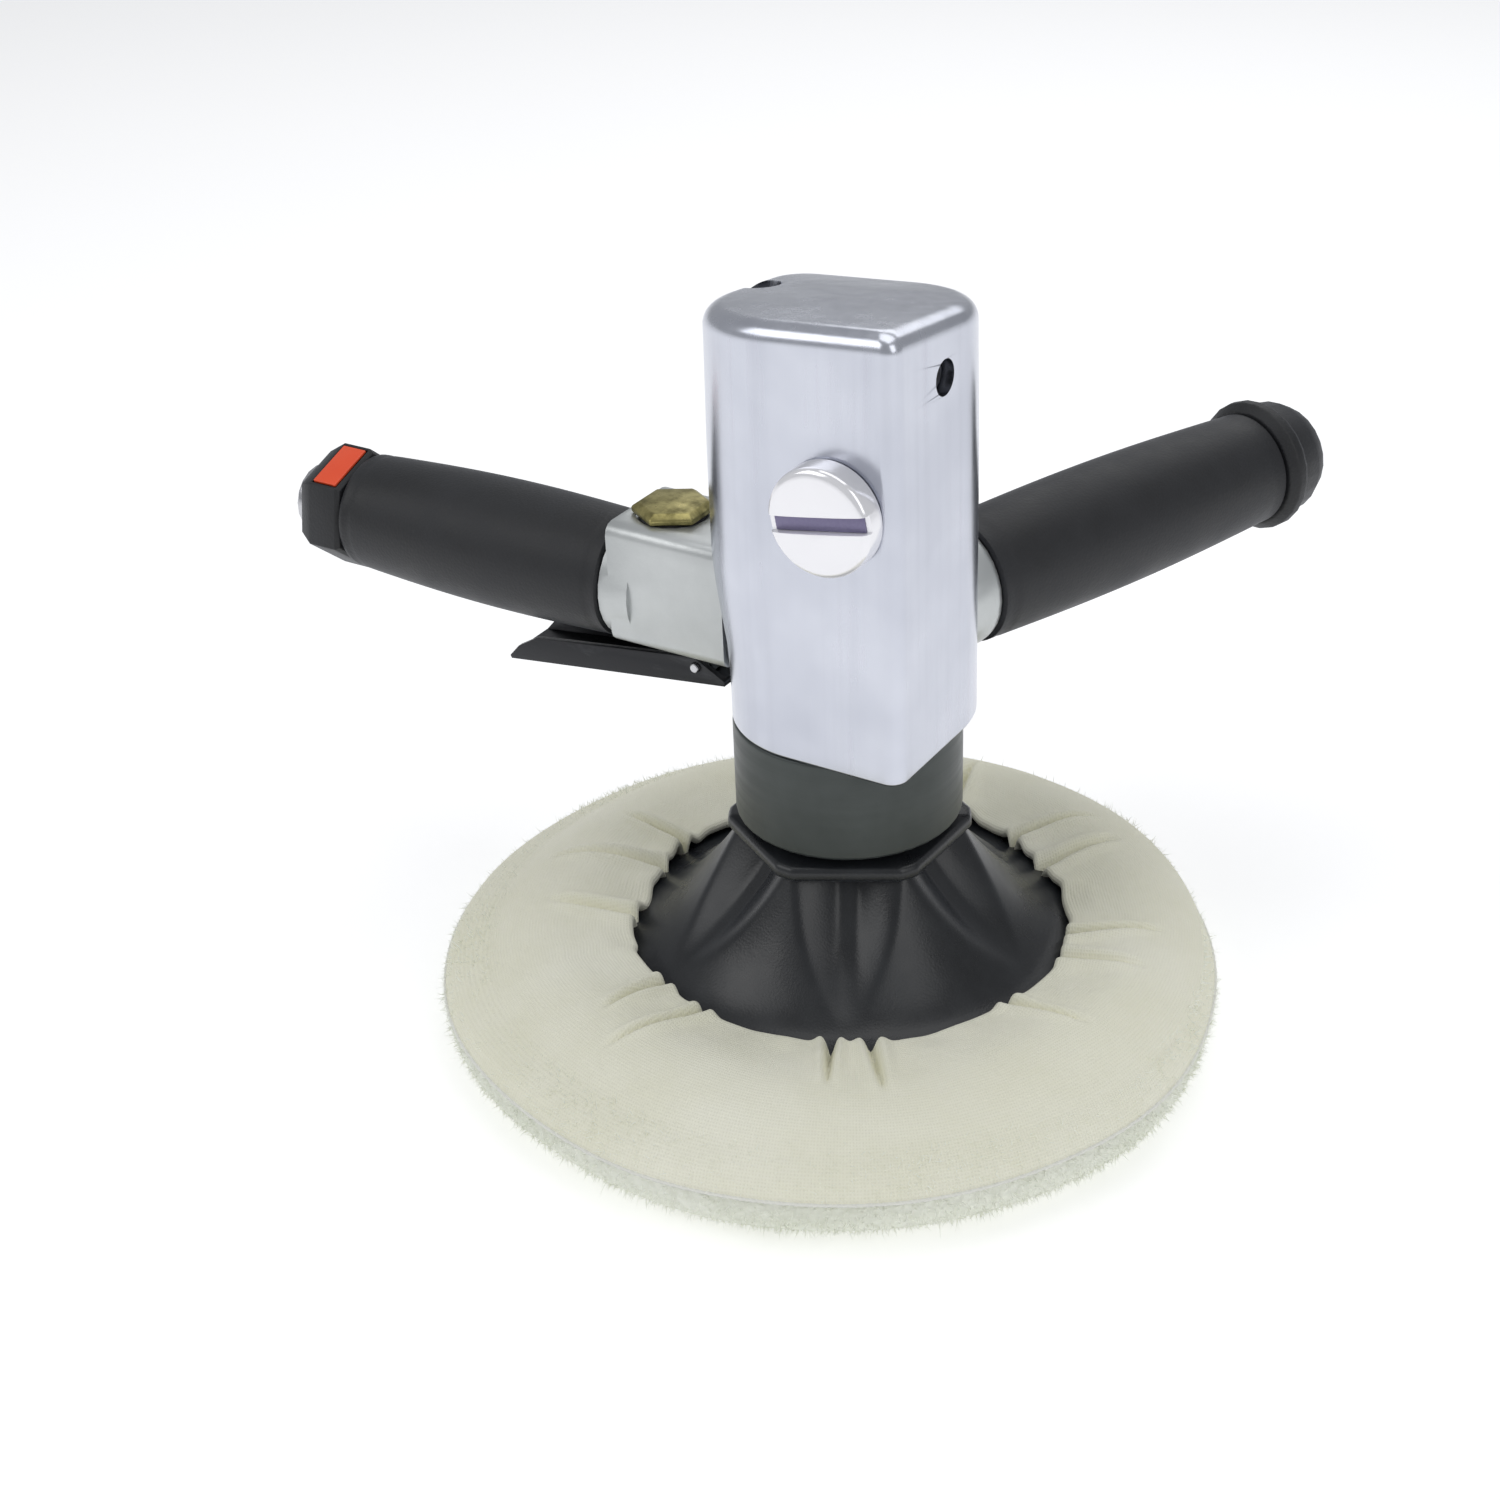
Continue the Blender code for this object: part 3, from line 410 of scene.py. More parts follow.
def slot_shade_look():
    """The floor of the dial's slot: rougher than the chrome, and coloured dark as painted shade in the slot."""
    look = Look("dial_slot", Metallic=0.6)
    grain = look.noise(1400, 3)
    look.bump((grain, 0.00001))
    return look.set(Base_Color=look.mix(grain, (0.17, 0.15, 0.26), (0.24, 0.22, 0.34)),
                    Roughness=look.spread(grain, 0.3, 0.7, 0.3, 0.45))


def black_metal_look():
    look = Look("black_oxide_steel", Metallic=0.5)
    rub = look.noise(180, 5, 0.65, stretch=(0.3, 1, 1))
    grain = look.noise(1500, 3)
    look.bump((rub, 0.00002), (grain, 0.000008))
    tone = look.mix(look.spread(rub, 0.55, 0.8), (0.020, 0.021, 0.024), (0.060, 0.062, 0.068))
    return look.set(Base_Color=tone, Roughness=look.spread(grain, 0.3, 0.7, 0.30, 0.42))


def rubber_look(name="black_rubber", dark=(0.007, 0.0075, 0.009), pale=(0.014, 0.015, 0.018), dull=(0.46, 0.60),
                grain_scale=1300, depth=0.000045):
    """Moulded rubber: an even pebble, worn patches and a trace of dust."""
    look = Look(name, Sheen_Weight=0.06, Sheen_Roughness=0.4, Sheen_Tint=(0.75, 0.82, 1.0))
    pebble = look.cells(grain_scale)
    wear = look.noise(60, 4, 0.6)
    dust = look.spread(look.noise(420, 5, 0.7), 0.62, 0.80, 0.0, 0.35)
    look.bump((look.noise(130, 3), 0.00006), (pebble, depth))
    tone = look.mix(look.spread(wear, 0.35, 0.7), dark, pale)
    return look.set(Base_Color=look.mix(dust, tone, (0.034, 0.036, 0.040)),
                    Roughness=look.spread(wear, 0.3, 0.7, *dull))


def brass_look():
    look = Look("brass", Metallic=0.9)
    tarnish = look.noise(190, 5, 0.65)
    grain = look.noise(1400, 3)
    look.bump((tarnish, 0.00004), (grain, 0.000010))
    tone = look.mix(look.spread(tarnish, 0.42, 0.66), (0.42, 0.37, 0.15), (0.17, 0.15, 0.055))
    return look.set(Base_Color=tone, Roughness=look.spread(tarnish, 0.35, 0.7, 0.26, 0.50))


def plastic_look():
    look = Look("orange_red_plastic")
    grain = look.noise(1700, 3)
    look.bump((look.noise(120, 2), 0.00008), (grain, 0.00001))
    return look.set(Base_Color=look.mix(look.noise(90, 3), (0.82, 0.075, 0.022), (0.90, 0.11, 0.035)),
                    Roughness=look.spread(grain, 0.3, 0.7, 0.30, 0.42))


def steel_look():
    look = Look("ground_steel", Metallic=1.0)
    lines = look.noise(1600, 3, stretch=(0.05, 1, 1))
    look.bump((lines, 0.000006))
    return look.set(Base_Color=look.mix(look.noise(70, 3), (0.50, 0.50, 0.52), (0.62, 0.62, 0.64)),
                    Roughness=look.spread(lines, 0.3, 0.7, 0.20, 0.34))


def iron_look():
    look = Look("cast_iron", Metallic=0.8)
    grain = look.noise(900, 5, 0.7)
    look.bump((grain, 0.00003))
    return look.set(Base_Color=look.mix(grain, (0.12, 0.12, 0.13), (0.22, 0.22, 0.23)),
                    Roughness=look.spread(grain, 0.3, 0.7, 0.42, 0.6))


def phenolic_look():
    """Layered resin board."""
    look = Look("phenolic_vane")
    layers = look.wave(0.0004, "X", 1.5, 2)
    look.bump((layers, 0.00001))
    return look.set(Base_Color=look.mix(layers, (0.13, 0.055, 0.022), (0.22, 0.10, 0.045)), Roughness=0.55)


def nitrile_look():
    look = Look("nitrile_rubber")
    grain = look.noise(2200, 3)
    look.bump((grain, 0.00001))
    return look.set(Base_Color=look.mix(grain, (0.012, 0.012, 0.012), (0.022, 0.022, 0.022)),
                    Roughness=look.spread(grain, 0.3, 0.7, 0.42, 0.56))


PILE_TONES = (0.80, 0.82, 0.70), (0.91, 0.92, 0.83)
CLOTH_TONES = (0.84, 0.83, 0.66), (0.92, 0.91, 0.77)


def pile_look():
    """Short woolly pile: matted cream tufts, darker in the gaps between them as painted shade."""
    look = Look("cream_pile", Sheen_Weight=0.35, Sheen_Roughness=0.6, Sheen_Tint=(0.95, 1.0, 0.92), Roughness=0.95)
    tufts = look.cells(420)
    curls = look.noise(900, 5, 0.7, distortion=0.6)
    clouds = look.noise(38, 4)
    look.bump((look.noise(150, 4), 0.0006), (tufts, 0.0006), (curls, 0.0003))
    tone = look.mix(look.spread(clouds, 0.3, 0.7), *PILE_TONES)
    # Painted shade: the colour darkens in the gaps between the tufts.
    return look.set(Base_Color=look.mix(look.spread(tufts, 0.25, 0.75, 0, 0.35), tone, (0.72, 0.74, 0.62)))


def nap_look():
    """The same wool on the free fibres, a little paler, with paler strands."""
    look = Look("cream_pile_nap", Sheen_Weight=0.3, Sheen_Roughness=0.6, Roughness=0.9)
    clouds = look.noise(40, 4)
    strand = look.noise(1500, 2)
    tone = look.mix(look.spread(clouds, 0.3, 0.7), (0.83, 0.85, 0.74), (0.93, 0.94, 0.86))
    return look.set(Base_Color=look.mix(look.spread(strand, 0.35, 0.7, 0, 0.4), tone, (0.90, 0.92, 0.85)))


def cloth_look():
    """Plain-weave cotton: warp and weft from the cloth's own UV map, in metres; the gaps between the threads are
    darkened as painted shade.
    """
    look = Look("cream_cloth", Sheen_Weight=0.25, Sheen_Roughness=0.5, Sheen_Tint=(1.0, 0.98, 0.9), Roughness=0.92)
    flat = look.add("ShaderNodeUVMap", uv_map="weave").outputs[0]
    warp = look.wave(0.0008, "X", 0.8, 2, where=flat)
    weft = look.wave(0.0008, "Y", 0.8, 2, where=flat)
    weave = look.maths("MAXIMUM", warp, weft)
    slub = look.noise(170, 4, 0.6, stretch=(1, 6, 1), where=flat)
    clouds = look.noise(32, 4)
    wrinkle = look.noise(110, 4, 0.55, distortion=0.8)
    look.bump((wrinkle, 0.00045), (slub, 0.00008), (weave, 0.00009))
    tone = look.mix(look.spread(clouds, 0.3, 0.7), *CLOTH_TONES)
    tone = look.mix(look.spread(slub, 0.4, 0.75, 0, 0.30), tone, (0.88, 0.86, 0.76))
    # Painted shade: darker colour in the gaps between the threads of the weave.
    return look.set(Base_Color=look.mix(look.spread(weave, 0.1, 0.6, 0.28, 0.0), tone, (0.72, 0.70, 0.55)))


def elastic_look():
    look = Look("white_elastic", Roughness=0.85, Sheen_Weight=0.2)
    braid_and_groove_shade = look.maths("MAXIMUM", look.wave(0.0009, "DIAGONAL", 0.4), look.wave(0.0011, "Z", 0.4))
    look.bump((braid_and_groove_shade, 0.00012))
    # Painted shade: the white elastic is darker in the grooves of its braid.
    return look.set(Base_Color=look.mix(braid_and_groove_shade, (0.60, 0.60, 0.54), (0.84, 0.84, 0.78)))


def make_looks():
    return {
        "polished_aluminium": polished_look(), "satin_cast_aluminium": satin_look(),
        "dark_grey_anodised": anodised_look(), "white_chrome": chrome_look(),
        "black_oxide_steel": black_metal_look(), "black_rubber": rubber_look(),
        "pad_rubber": rubber_look("pad_rubber", (0.010, 0.011, 0.013), (0.018, 0.020, 0.023), (0.24, 0.38), 1700, 0.000018),
        "brass": brass_look(), "orange_red_plastic": plastic_look(), "ground_steel": steel_look(),
        "cast_iron": iron_look(), "phenolic_vane": phenolic_look(), "nitrile_rubber": nitrile_look(),
        "cream_pile": pile_look(), "cream_cloth": cloth_look(), "white_elastic": elastic_look(),
    }


# ---- hard pieces that need a finer mesh than the CAD solids -------------------------------------
def housing_section(height, inset, fine=3):
    """The CAD housing's section: a square corner at +X -Y, a softer one at -X +Y, round between them.
    The side toward the throttle handle swells with height."""
    low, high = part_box("motor_housing")
    share = float(ease((height - 92.0 * MM) / (40.0 * MM)))
    left = 27.2 * MM + (-low.x - 27.2 * MM) * share - inset
    right, front, back = high.x - inset, -low.y - inset, high.y - inset
    ridge = max(4.0 * MM - inset * 0.35, 1.5 * MM)
    soft = max(9.0 * MM - inset * 0.5, 3.0 * MM)
    far, swell = 25.0 * MM - inset, min(left, front)
    points = arc((-left + swell, -front + swell), swell, 180, 270, 11 * fine)
    points += arc((right - ridge, -front + ridge), ridge, 270, 360, 4 * fine)
    points += arc((right - far, back - far), far, 0, 90, 10 * fine)
    points += arc((-left + soft, back - soft), soft, 90, 180, 6 * fine)
    return points


def top_rise(points):
    """The housing's top leans up toward the square corner; below 150 mm its walls are plain."""
    share = ease((points[:, 2] - 150.0 * MM) / (30.0 * MM))
    return share * (TOP_RISE + TOP_LEAN * (0.53 * points[:, 0] - 0.848 * points[:, 1]))


def cylinder_cutter(radius, start, axis, length, around=64):
    axis = Vector(axis).normalized()
    matrix = Matrix.Translation(Vector(start)) @ axis.to_track_quat("Z", "Y").to_matrix().to_4x4()
    return lathe("cutter", [(0, 0), (radius, 0), (radius, length), (0, length)], around, None, matrix, None)


def make_housing(looks):
    low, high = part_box("motor_housing")
    bottom, top, right, front = low.z, HOUSING_TOP, high.x, -low.y
    fillet = 5.0 * MM
    levels = [(bottom, 0.9 * MM), (bottom + 0.25 * MM, 0.35 * MM), (bottom + 0.9 * MM, 0.0)]
    for share in np.linspace(0, 1, 25)[1:]:
        height = bottom + 0.9 * MM + (top - fillet - bottom - 0.9 * MM) * share
        levels.append((height, 0.4 * MM * float(ease(share * 3 - 2))))
    for turn in np.radians(np.linspace(0, 90, 13))[1:]:
        levels.append((top - fillet + fillet * math.sin(turn), 0.4 * MM + fillet * (1 - math.cos(turn))))
    rings = [np.array([(x, y, height) for x, y in housing_section(height, inset)])
             for height, inset in levels]
    around = len(rings[0])
    edge = rings[-1]
    for share in (0.97, 0.9, 0.78, 0.62, 0.44, 0.24, 0.10):
        ring = edge * (share, share, 1.0)
        ring[:, 2] = top + 0.7 * MM * (1 - share * share)
        rings.append(ring)
    faces = ring_faces(len(rings), around)
    faces.append(tuple(range(around))[::-1])
    faces.append(tuple((len(rings) - 1) * around + i for i in range(around)))
    points = np.concatenate(rings)
    points[:, 2] += top_rise(points)
    shell = mesh_object("housing_casting", points, faces, looks["polished_aluminium"])
    fix_normals(shell)
    plug, cap, dial = middle("side_port_plug"), middle("top_cap_screw"), middle("speed_dial")
    cut(shell, cylinder_cutter(23.8 * MM, (0, 0, bottom - MM), (0, 0, 1), 59.6 * MM, 96))
    cut(shell, cylinder_cutter(19.0 * MM, (0, 0, bottom + 55 * MM), (0, 0, 1), 25.0 * MM, 72))
    cut(shell, cylinder_cutter(4.2 * MM, (right + MM, plug.y, plug.z), (-1, 0, 0), 9.0 * MM, 48))
    cut(shell, cylinder_cutter(4.9 * MM, (cap.x, cap.y, top + 6 * MM), (0, 0, -1), 14.0 * MM, 48))
    cut(shell, cylinder_cutter(2.9 * MM, (cap.x, cap.y, top - 6 * MM), (0, 0, -1), 12.0 * MM, 32))
    cut(shell, cylinder_cutter(9.1 * MM, (dial.x, -front - MM, dial.z), (0, 1, 0), 16.0 * MM, 48))
    shell.data.materials.clear()
    shell.data.materials.append(looks["polished_aluminium"])
    bevel(shell, 0.35 * MM, 50, 2)
    smooth_by_angle(shell, 38)
    shell.modifiers.new("flat_walls", "WEIGHTED_NORMAL").keep_sharp = True
    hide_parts("motor_housing")
    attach(shell, "housing")


def make_dial(looks):
    """The slotted dial, its head domed over a small flange."""
    low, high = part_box("speed_dial")
    centre, radius = (low + high) / 2, (high.x - low.x) / 2
    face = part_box("motor_housing")[0].y
    head = face - low.y
    matrix = Matrix.Translation((centre.x, face, centre.z)) @ Matrix.Rotation(math.pi / 2, 4, "X")
    profile = [(0, -13 * MM), (3.6 * MM, -13 * MM), (3.8 * MM, -12.6 * MM), (3.8 * MM, -3.6 * MM), (8.8 * MM, -3.6 * MM),
               (8.8 * MM, 0.3 * MM), (radius - 0.4 * MM, 0.3 * MM), (radius, 0.7 * MM), (radius, head - 2.2 * MM)]
    profile += [(radius - 2.0 * MM + 2.0 * MM * math.cos(t), head - 2.2 * MM + 1.8 * MM * math.sin(t))
                for t in np.radians([15, 30, 45, 60, 75])]
    profile += [(radius * 0.80, head - 0.32 * MM), (radius * 0.62, head - 0.14 * MM),
                (radius * 0.4, head - 0.04 * MM), (0, head)]
    dial = lathe("regulator_dial", profile, 128, looks["white_chrome"], None, None)
    tilt = Matrix.Rotation(math.radians(10), 4, "Z")
    bar = box_piece("cutter", (-13 * MM, -2.0 * MM, head - 2.4 * MM), (13 * MM, 2.0 * MM, head + 2 * MM), tilt)
    cut(dial, bar)
    dial.data.transform(matrix)
    dial.data.materials.clear()
    dial.data.materials.append(looks["white_chrome"])
    bevel(dial, 0.3 * MM, 50, 2)
    smooth_by_angle(dial, 40)
    # Painted shade: a dark sheet laid on the floor of the slot, where shade falls.
    shade_inlay = box_piece("dial_slot_shade_floor", (-11.5 * MM, -1.9 * MM, head - 2.38 * MM),
                      (11.5 * MM, 1.9 * MM, head - 1.9 * MM), tilt)
    shade_inlay.data.transform(matrix)
    shade_inlay.data.materials.append(slot_shade_look())
    bevel(shade_inlay, 0.12 * MM, 50, 2)
    smooth_by_angle(shade_inlay, 40)
    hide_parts("speed_dial")
    for piece in (dial, shade_inlay):
        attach(piece, "dial")


def box_piece(name, low, high, matrix=None):
    corners = [(x, y, z) for z in (low[2], high[2]) for y in (low[1], high[1]) for x in (low[0], high[0])]
    faces = [(0, 2, 3, 1), (4, 5, 7, 6), (0, 1, 5, 4), (2, 6, 7, 3), (0, 4, 6, 2), (1, 3, 7, 5)]
    obj = mesh_object(name, corners, faces, None)
    if matrix is not None:
        obj.data.transform(matrix)
    return obj


def grip(name, node, origin, axis, bore, looks):
    """A moulded barrel grip: full in the middle, with a rolled lip at each end and shallow grooves beside them."""
    near, far, _ = span_on(node, origin, axis)
    near_r, mid_r, far_r = 15.8 * MM, 16.7 * MM, 15.0 * MM
    profile = [(bore, near), (near_r - 1.1 * MM, near), (near_r - 0.5 * MM, near + 0.15 * MM)]
    for share in np.linspace(0, 1, 71):
        radius = near_r + (far_r - near_r) * share + (mid_r - (near_r + far_r) / 2) * math.sin(math.pi * share)
        along = near + 0.6 * MM + (far - near - 1.2 * MM) * share
        for groove in (near + 3.2 * MM, far - 3.2 * MM):
            radius -= 0.35 * MM * math.exp(-((along - groove) / (0.5 * MM)) ** 2)
        profile.append((radius, along))
    profile += [(far_r - 0.5 * MM, far - 0.15 * MM), (far_r - 1.1 * MM, far), (bore, far)]
    matrix = Matrix.Translation(origin) @ Vector(axis).to_track_quat("Z", "Y").to_matrix().to_4x4()
    piece = lathe(name, profile, 96, looks["black_rubber"], matrix, 45)
    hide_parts(node)
    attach(piece, "housing")


# ---- backing pad -------------------------------------------------------------------------------
RIBS, VALLEY, FLANGE_R, HUB_TOP = 6, 28.5, 31.0, 57.0


def from_valley(azimuth):
    span = 360.0 / RIBS
    return (azimuth - VALLEY + span / 2) % span - span / 2


def rib_depth(azimuth, height):
    rise = (height - 27.0) / (HUB_TOP - 4.0 - 27.0)
    if rise <= 0:
        return 0.0
    rise = min(rise, 1.0)
    half_width = 0.46 * (360.0 / RIBS) * rise ** 0.75
    inside = max(0.0, 1.0 - abs(from_valley(azimuth)) / half_width)
    return 8.5 * math.sin(math.pi / 2 * rise) * min(1.0, inside * 1.35)


def flange_radius(azimuth):
    flat = FLANGE_R * math.cos(math.radians(180.0 / RIBS)) / math.cos(math.radians(from_valley(azimuth)))
    return min(flat + 0.4, FLANGE_R - 0.8)


def make_pad(looks):
    """The moulded rubber pad: a stiff disc, a fluted hub between six ribs and a hexagonal flange."""
    low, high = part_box("backing_pad")
    around, rim, bottom = 288, high.x * 1000, low.z * 1000
    outline = [(24.6, bottom), (60, bottom), (rim - 2.0, bottom), (rim - 0.6, bottom + 0.6), (rim, bottom + 2.0),
               (rim, 18.0), (rim - 0.6, 19.0), (rim - 2.0, 19.5), (74.0, 20.7), (62.0, 22.0), (58.5, 22.8)]
    azimuths = np.arange(around) * 360.0 / around
    angles = np.radians(azimuths - 90.0)
    rings = [(np.full(around, r), h) for r, h in outline]
    for share in np.linspace(0, 1, 34):
        height = 24.0 + (HUB_TOP - 4.0 - 24.0) * share
        radius = 55.0 - 27.0 * share ** 0.62
        depth = np.array([rib_depth(a, height) for a in azimuths])
        for _ in range(3):
            depth = (np.roll(depth, 1) + 2 * depth + np.roll(depth, -1)) / 4
        rings.append((radius - depth, height))
    flange = np.array([flange_radius(a) for a in azimuths])
    rings += [(flange - 0.5, HUB_TOP - 3.6), (flange - 0.1, HUB_TOP - 3.2), (flange, HUB_TOP - 2.8),
              (flange, HUB_TOP - 1.4), (flange - 0.35, HUB_TOP - 0.5), (flange - 1.2, HUB_TOP),
              (np.full(around, 12.3), HUB_TOP), (np.full(around, 12.3), 16.0), (np.full(around, 24.6), 16.0)]
    points = [np.stack([r * np.cos(angles), r * np.sin(angles), np.full(around, float(h))], 1) * MM for r, h in rings]
    pad = mesh_object("moulded_pad", np.concatenate(points), ring_faces(len(rings), around, closed=True),
                      looks["pad_rubber"])
    fix_normals(pad)
    smooth_by_angle(pad, 50)
    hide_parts("backing_pad")
    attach(pad, "spindle")


# ---- bonnet ------------------------------------------------------------------------------------
RNG = np.random.default_rng(11)
# The wool's rounded rim in millimetres: the centre of its section, and its reach out and up.
RIM_CENTRE_R, RIM_CENTRE_H, RIM_REACH, RIM_RISE = 84.0, 11.8, 13.8, 11.35
FULL_SIDE = math.radians(212.0)    # where the bonnet stands furthest out
RIM_WAVES = [(2, 0.9, 0.6), (3, 0.7, 2.1), (5, 0.35, 0.4), (9, 0.22, 1.7)]


def lopsided(angles):
    """The bonnet sits off centre on the pad, fuller on one side."""
    return 5.5 * np.cos(angles - FULL_SIDE)


def rim_radius(angles):
    """The bonnet isn't a true circle: the wool bulges a little more in places."""
    return sum(size * np.cos(count * angles + phase) for count, size, phase in RIM_WAVES)


def swollen(radius, turn):
    """This radius on the round bonnet, carried out by its waves and its lopsided seat."""
    waves = rim_radius(turn) * ease((radius - 80.0) / 16.0)
    return radius + waves + lopsided(turn) * ease((radius - 88.0) / 8.0)


def rim_point(degrees, clear=0.0):
    """A point (radius, height) on the rounded rim of the wool, this far clear of it."""
    t = math.radians(degrees)
    radius = RIM_CENTRE_R + RIM_REACH * math.cos(t) + clear * math.cos(t)
    return radius, RIM_CENTRE_H + RIM_RISE * math.sin(t) + clear * math.sin(t)


def make_pile(looks):
    """Wool that wraps from under the pad up to the seam with the cloth, thick and rounded at the rim."""
    _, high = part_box("bonnet_pile")
    around = 360
    turn = np.arange(around) * TAU / around
    radius = high.x * 1000
    outline = [(0.0, 0.35), (30, 0.35), (60, 0.35), (78, 0.3), (87, 0.45)]
    outline += [(RIM_CENTRE_R + (radius - RIM_CENTRE_R) * math.cos(t), RIM_CENTRE_H + RIM_RISE * math.sin(t))
                for t in np.radians(np.linspace(-72, 72, 28))]
    outline += [(87.3, 22.2), (86.9, 19.5), (86.7, 11.6), (70, 11.6), (30, 11.6), (0.0, 11.6)]
    rings = []
    for r, h in outline:
        share, out = ease((r - 80.0) / 16.0), swollen(r, turn)
        height = np.full(around, h) + 0.5 * share * np.sin(7 * turn + 1.0) * ease(h / 8.0)
        rings.append(np.stack([out * np.cos(turn), out * np.sin(turn), height], 1) * MM)
    pile = mesh_object("wool_pile", np.concatenate(rings), ring_faces(len(rings), around), looks["cream_pile"])
    weld(pile)
    fix_normals(pile)
    smooth_by_angle(pile, 60)
    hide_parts("bonnet_pile")
    make_nap(pile, 26000)
    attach(pile, "spindle")


def make_nap(pile, count):
    """Free fibres that break up the outline of the wool, each a bent tapering blade."""
    faces = [list(p.vertices) for p in pile.data.polygons if len(p.vertices) == 4]
    points = np.array([v.co for v in pile.data.vertices], float)
    quads = np.array(faces)
    corner = points[quads]
    normal = np.cross(corner[:, 2] - corner[:, 0], corner[:, 3] - corner[:, 1])
    area = np.linalg.norm(normal, axis=1)
    normal /= area[:, None]
    centre = corner.mean(1)
    rim = np.hypot(centre[:, 0], centre[:, 1])
    weight = area * np.where(rim > 0.0885, 1.0, np.where(centre[:, 2] < 0.002, 0.05, 0.0))
    picked = RNG.choice(len(quads), count, p=weight / weight.sum())
    u, v = RNG.random((2, count, 1))
    c = corner[picked]
    root = (c[:, 0] * (1 - u) + c[:, 1] * u) * (1 - v) + (c[:, 3] * (1 - u) + c[:, 2] * u) * v
    out = normal[picked] + RNG.normal(0, 0.55, (count, 3))
    out /= np.linalg.norm(out, axis=1)[:, None]
    side = np.cross(out, RNG.normal(0, 1, (count, 3)))
    side /= np.linalg.norm(side, axis=1)[:, None]
    length = RNG.uniform(0.9, 2.1, (count, 1)) * MM
    bend = RNG.normal(0, 0.45, (count, 3)) * length
    width = RNG.uniform(0.10, 0.17, (count, 1)) * MM
    root -= normal[picked] * 0.25 * MM
    mid, tip = root + out * length * 0.55 + bend * 0.3, root + out * length + bend
    for row in (mid, tip):
        row[:, 2] = np.maximum(row[:, 2], 0.0)
    blade = np.stack([root - side * width, root + side * width,
                      mid - side * width * 0.7, mid + side * width * 0.7, tip], 1)
    base = np.arange(count)[:, None] * 5
    quad, point = base + (0, 1, 3, 2), base + (2, 3, 4)
    nap = mesh_object("wool_nap", blade.reshape(-1, 3), [*quad.tolist(), *point.tolist()], nap_look())
    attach(nap, "spindle")


def gathers():
    """(azimuth, depth, width, reach, slant) of each deep gather of the cloth, unevenly spaced."""
    count = 15
    found = []
    for i in range(count):
        found.append((TAU * (i + RNG.uniform(-0.33, 0.33)) / count, RNG.uniform(3.0, 4.2), RNG.uniform(1.0, 1.7),
                      RNG.uniform(0.50, 0.85), RNG.uniform(-0.16, 0.16)))
    return found


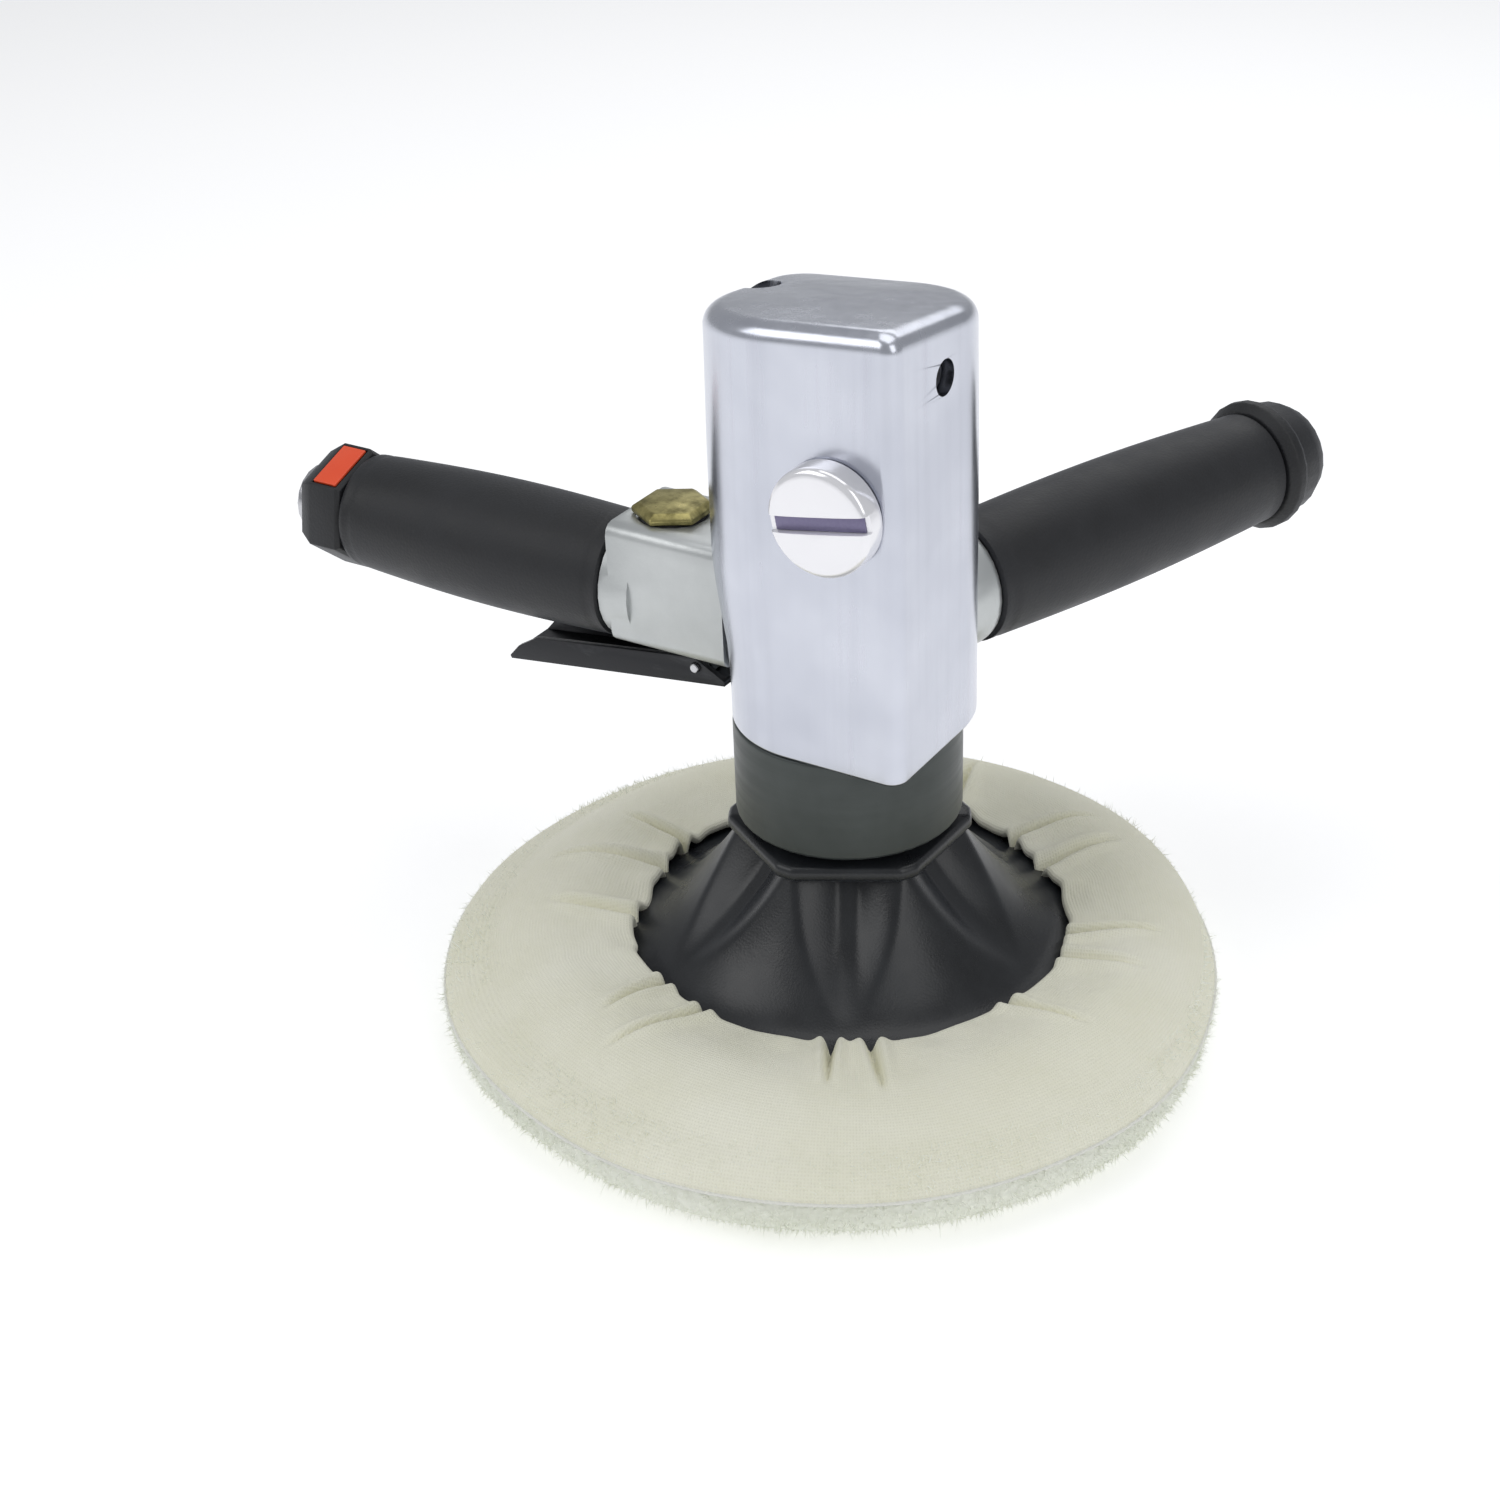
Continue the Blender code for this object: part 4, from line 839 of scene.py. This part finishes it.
def make_skirt(looks):
    """The cotton skirt: sewn to the wool round the rim and drawn in over the pad by elastic in its hem."""
    around, across = 720, 64
    turn = np.arange(around) * TAU / around
    seam_r, hem_r = rim_point(14, 0.5)[0], 56.0
    pleats = gathers()
    frill = (0.50 * np.sin(17 * turn + 1.8 * np.sin(2 * turn)) + 0.35 * np.sin(27 * turn + 2.0 * np.sin(3 * turn + 1))
             + 0.12 * np.sin(46 * turn + 1.5 * np.sin(5 * turn)))
    hem_wave = 0.9 * np.sin(5 * turn + 0.4) + 0.6 * np.sin(8 * turn + 2.2)
    rings = []
    fold = 0.30
    corner_r, corner_h = rim_point(62, 0.5)
    for k in range(across):
        whole = k / (across - 1)
        share = max(0.0, (whole - fold) / (1 - fold))
        hem = hem_r + hem_wave + frill * 0.8
        if whole < fold:
            r, rise = rim_point(14 + 48 * whole / fold, 0.5)
            radius = swollen(r, turn)
        else:
            start = swollen(corner_r, turn)
            radius = start + (hem - start) * share
            rise = corner_h + 5.4 * (1 - (1 - min(share / 0.6, 1.0)) ** 2) - 0.6 * ease((share - 0.5) / 0.5)
        height = np.full(around, rise) + 0.7 * np.sin(4 * turn + 2.0) * math.sin(math.pi * min(share * 1.2, 1))
        height += 1.7 * math.sin(math.pi * share ** 0.8)
        height += 0.9 * frill * ease((share - 0.80) / 0.20) + 0.5 * hem_wave * ease((share - 0.6) / 0.4)
        for azimuth, depth, width, reach, slant in pleats:
            away = (turn - azimuth - slant * (1 - share) + math.pi) % TAU - math.pi
            away = away * radius
            strength = depth * ease((share - (1 - reach)) / reach) ** 0.5 * (1.35 - 0.45 * share)
            spread = width * (0.45 + 0.55 * share)
            height -= strength * np.exp(-(away / spread) ** 2)
            height += 0.55 * strength * np.exp(-((np.abs(away) - 2.1 * spread) / (1.5 * spread)) ** 2)
        ring = np.stack([radius * np.cos(turn), radius * np.sin(turn), height], 1)
        rings.append(ring)
    roll = 1.5
    hem = rings[-1]
    out = np.stack([np.cos(turn), np.sin(turn), np.zeros(around)], 1)
    up = np.array([0, 0, 1.0])
    for angle in np.radians(np.linspace(20, 250, 12)):
        rings.append(hem - up * roll - out * roll * math.sin(angle) * 1.1 + up * roll * math.cos(angle))
    for step in (1.5, 3.5):
        rings.append(rings[-1] + out * step * 1.0 + up * 0.1)
    count = len(rings)
    points = np.concatenate(rings) * MM
    skirt = mesh_object("cotton_skirt", points, ring_faces(count, around), looks["cream_cloth"])
    fix_normals(skirt)
    up_facing = sum(p.normal.z * p.area for p in skirt.data.polygons)
    if up_facing < 0:
        skirt.data.flip_normals()
    step = [0.0]
    for a, b in zip(rings, rings[1:]):
        step.append(step[-1] + float(np.linalg.norm(b - a, axis=1).mean()) * MM)
    flat = TAU * seam_r * MM
    uv = skirt.data.uv_layers.new(name="weave")
    for polygon in skirt.data.polygons:
        columns = [skirt.data.loops[i].vertex_index % around for i in polygon.loop_indices]
        wraps = max(columns) - min(columns) > 1
        for loop, column in zip(polygon.loop_indices, columns):
            ring = skirt.data.loops[loop].vertex_index // around
            column = around if wraps and column == 0 else column
            uv.data[loop].uv = (flat * column / around, step[ring])
    thick = skirt.modifiers.new("thick", "SOLIDIFY")
    thick.thickness, thick.offset = 0.45 * MM, -1.0
    smooth_by_angle(skirt, 70)
    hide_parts("bonnet_skirt", "bonnet_elastic")
    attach(skirt, "spindle")
    make_seam(looks, seam_r, around)


def make_seam(looks, seam_r, around):
    """The stitched seam between the cloth and the wool: a thin rolled welt with a stitch every 3 mm."""
    turn = np.arange(around) * TAU / around
    radius = swollen(seam_r, turn)
    stitch = 0.16 * np.abs(np.sin(turn * 95))
    rings = []
    for angle in np.arange(8) * TAU / 8:
        size = 0.40 + stitch
        rings.append(np.stack([(radius + size * math.cos(angle)) * np.cos(turn),
                               (radius + size * math.cos(angle)) * np.sin(turn),
                               rim_point(14, 0.5)[1] + size * math.sin(angle) * 0.8], 1) * MM)
    welt = mesh_object("seam_welt", np.concatenate(rings), ring_faces(8, around, closed=True), looks["white_elastic"])
    fix_normals(welt)
    smooth_by_angle(welt, 60)
    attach(welt, "spindle")


def main():
    make_camera()
    make_studio()
    looks = make_looks()
    slots = {}
    for entry in frame["record"]["materials"]:
        for node in entry.get("nodes", []):
            slots[node] = entry["slot"]
    edges = {"throttle_body": 0.9, "valve_cap": 0.35, "throttle_lever": 0.35, "exhaust_collar": 0.8,
             "collar_marker": 0.25, "side_handle_boss": 0.6, "inlet_bushing": 0.3, "gear_case": 0.4,
             "side_end_cap": 0.4, "top_cap_screw": 0.2, "side_port_plug": 0.2}
    for name, node in NODES.items():
        look = slots.get(name) or node.data.materials[0].name.split(".")[0]
        dress(name, looks[look], edges.get(name, 0) * MM)
    make_housing(looks)
    make_dial(looks)
    handle = middle("inlet_tube").z
    grip("throttle_grip_moulded", "throttle_grip", Vector((0, 0, handle)), Vector((-1, 0, 0)), 9.8 * MM, looks)
    reach = math.radians(70)
    grip("side_grip_moulded", "side_grip", Vector((0, 0, handle)), Vector((math.cos(reach), math.sin(reach), 0)),
         10.3 * MM, looks)
    make_pad(looks)
    make_pile(looks)
    make_skirt(looks)


main()
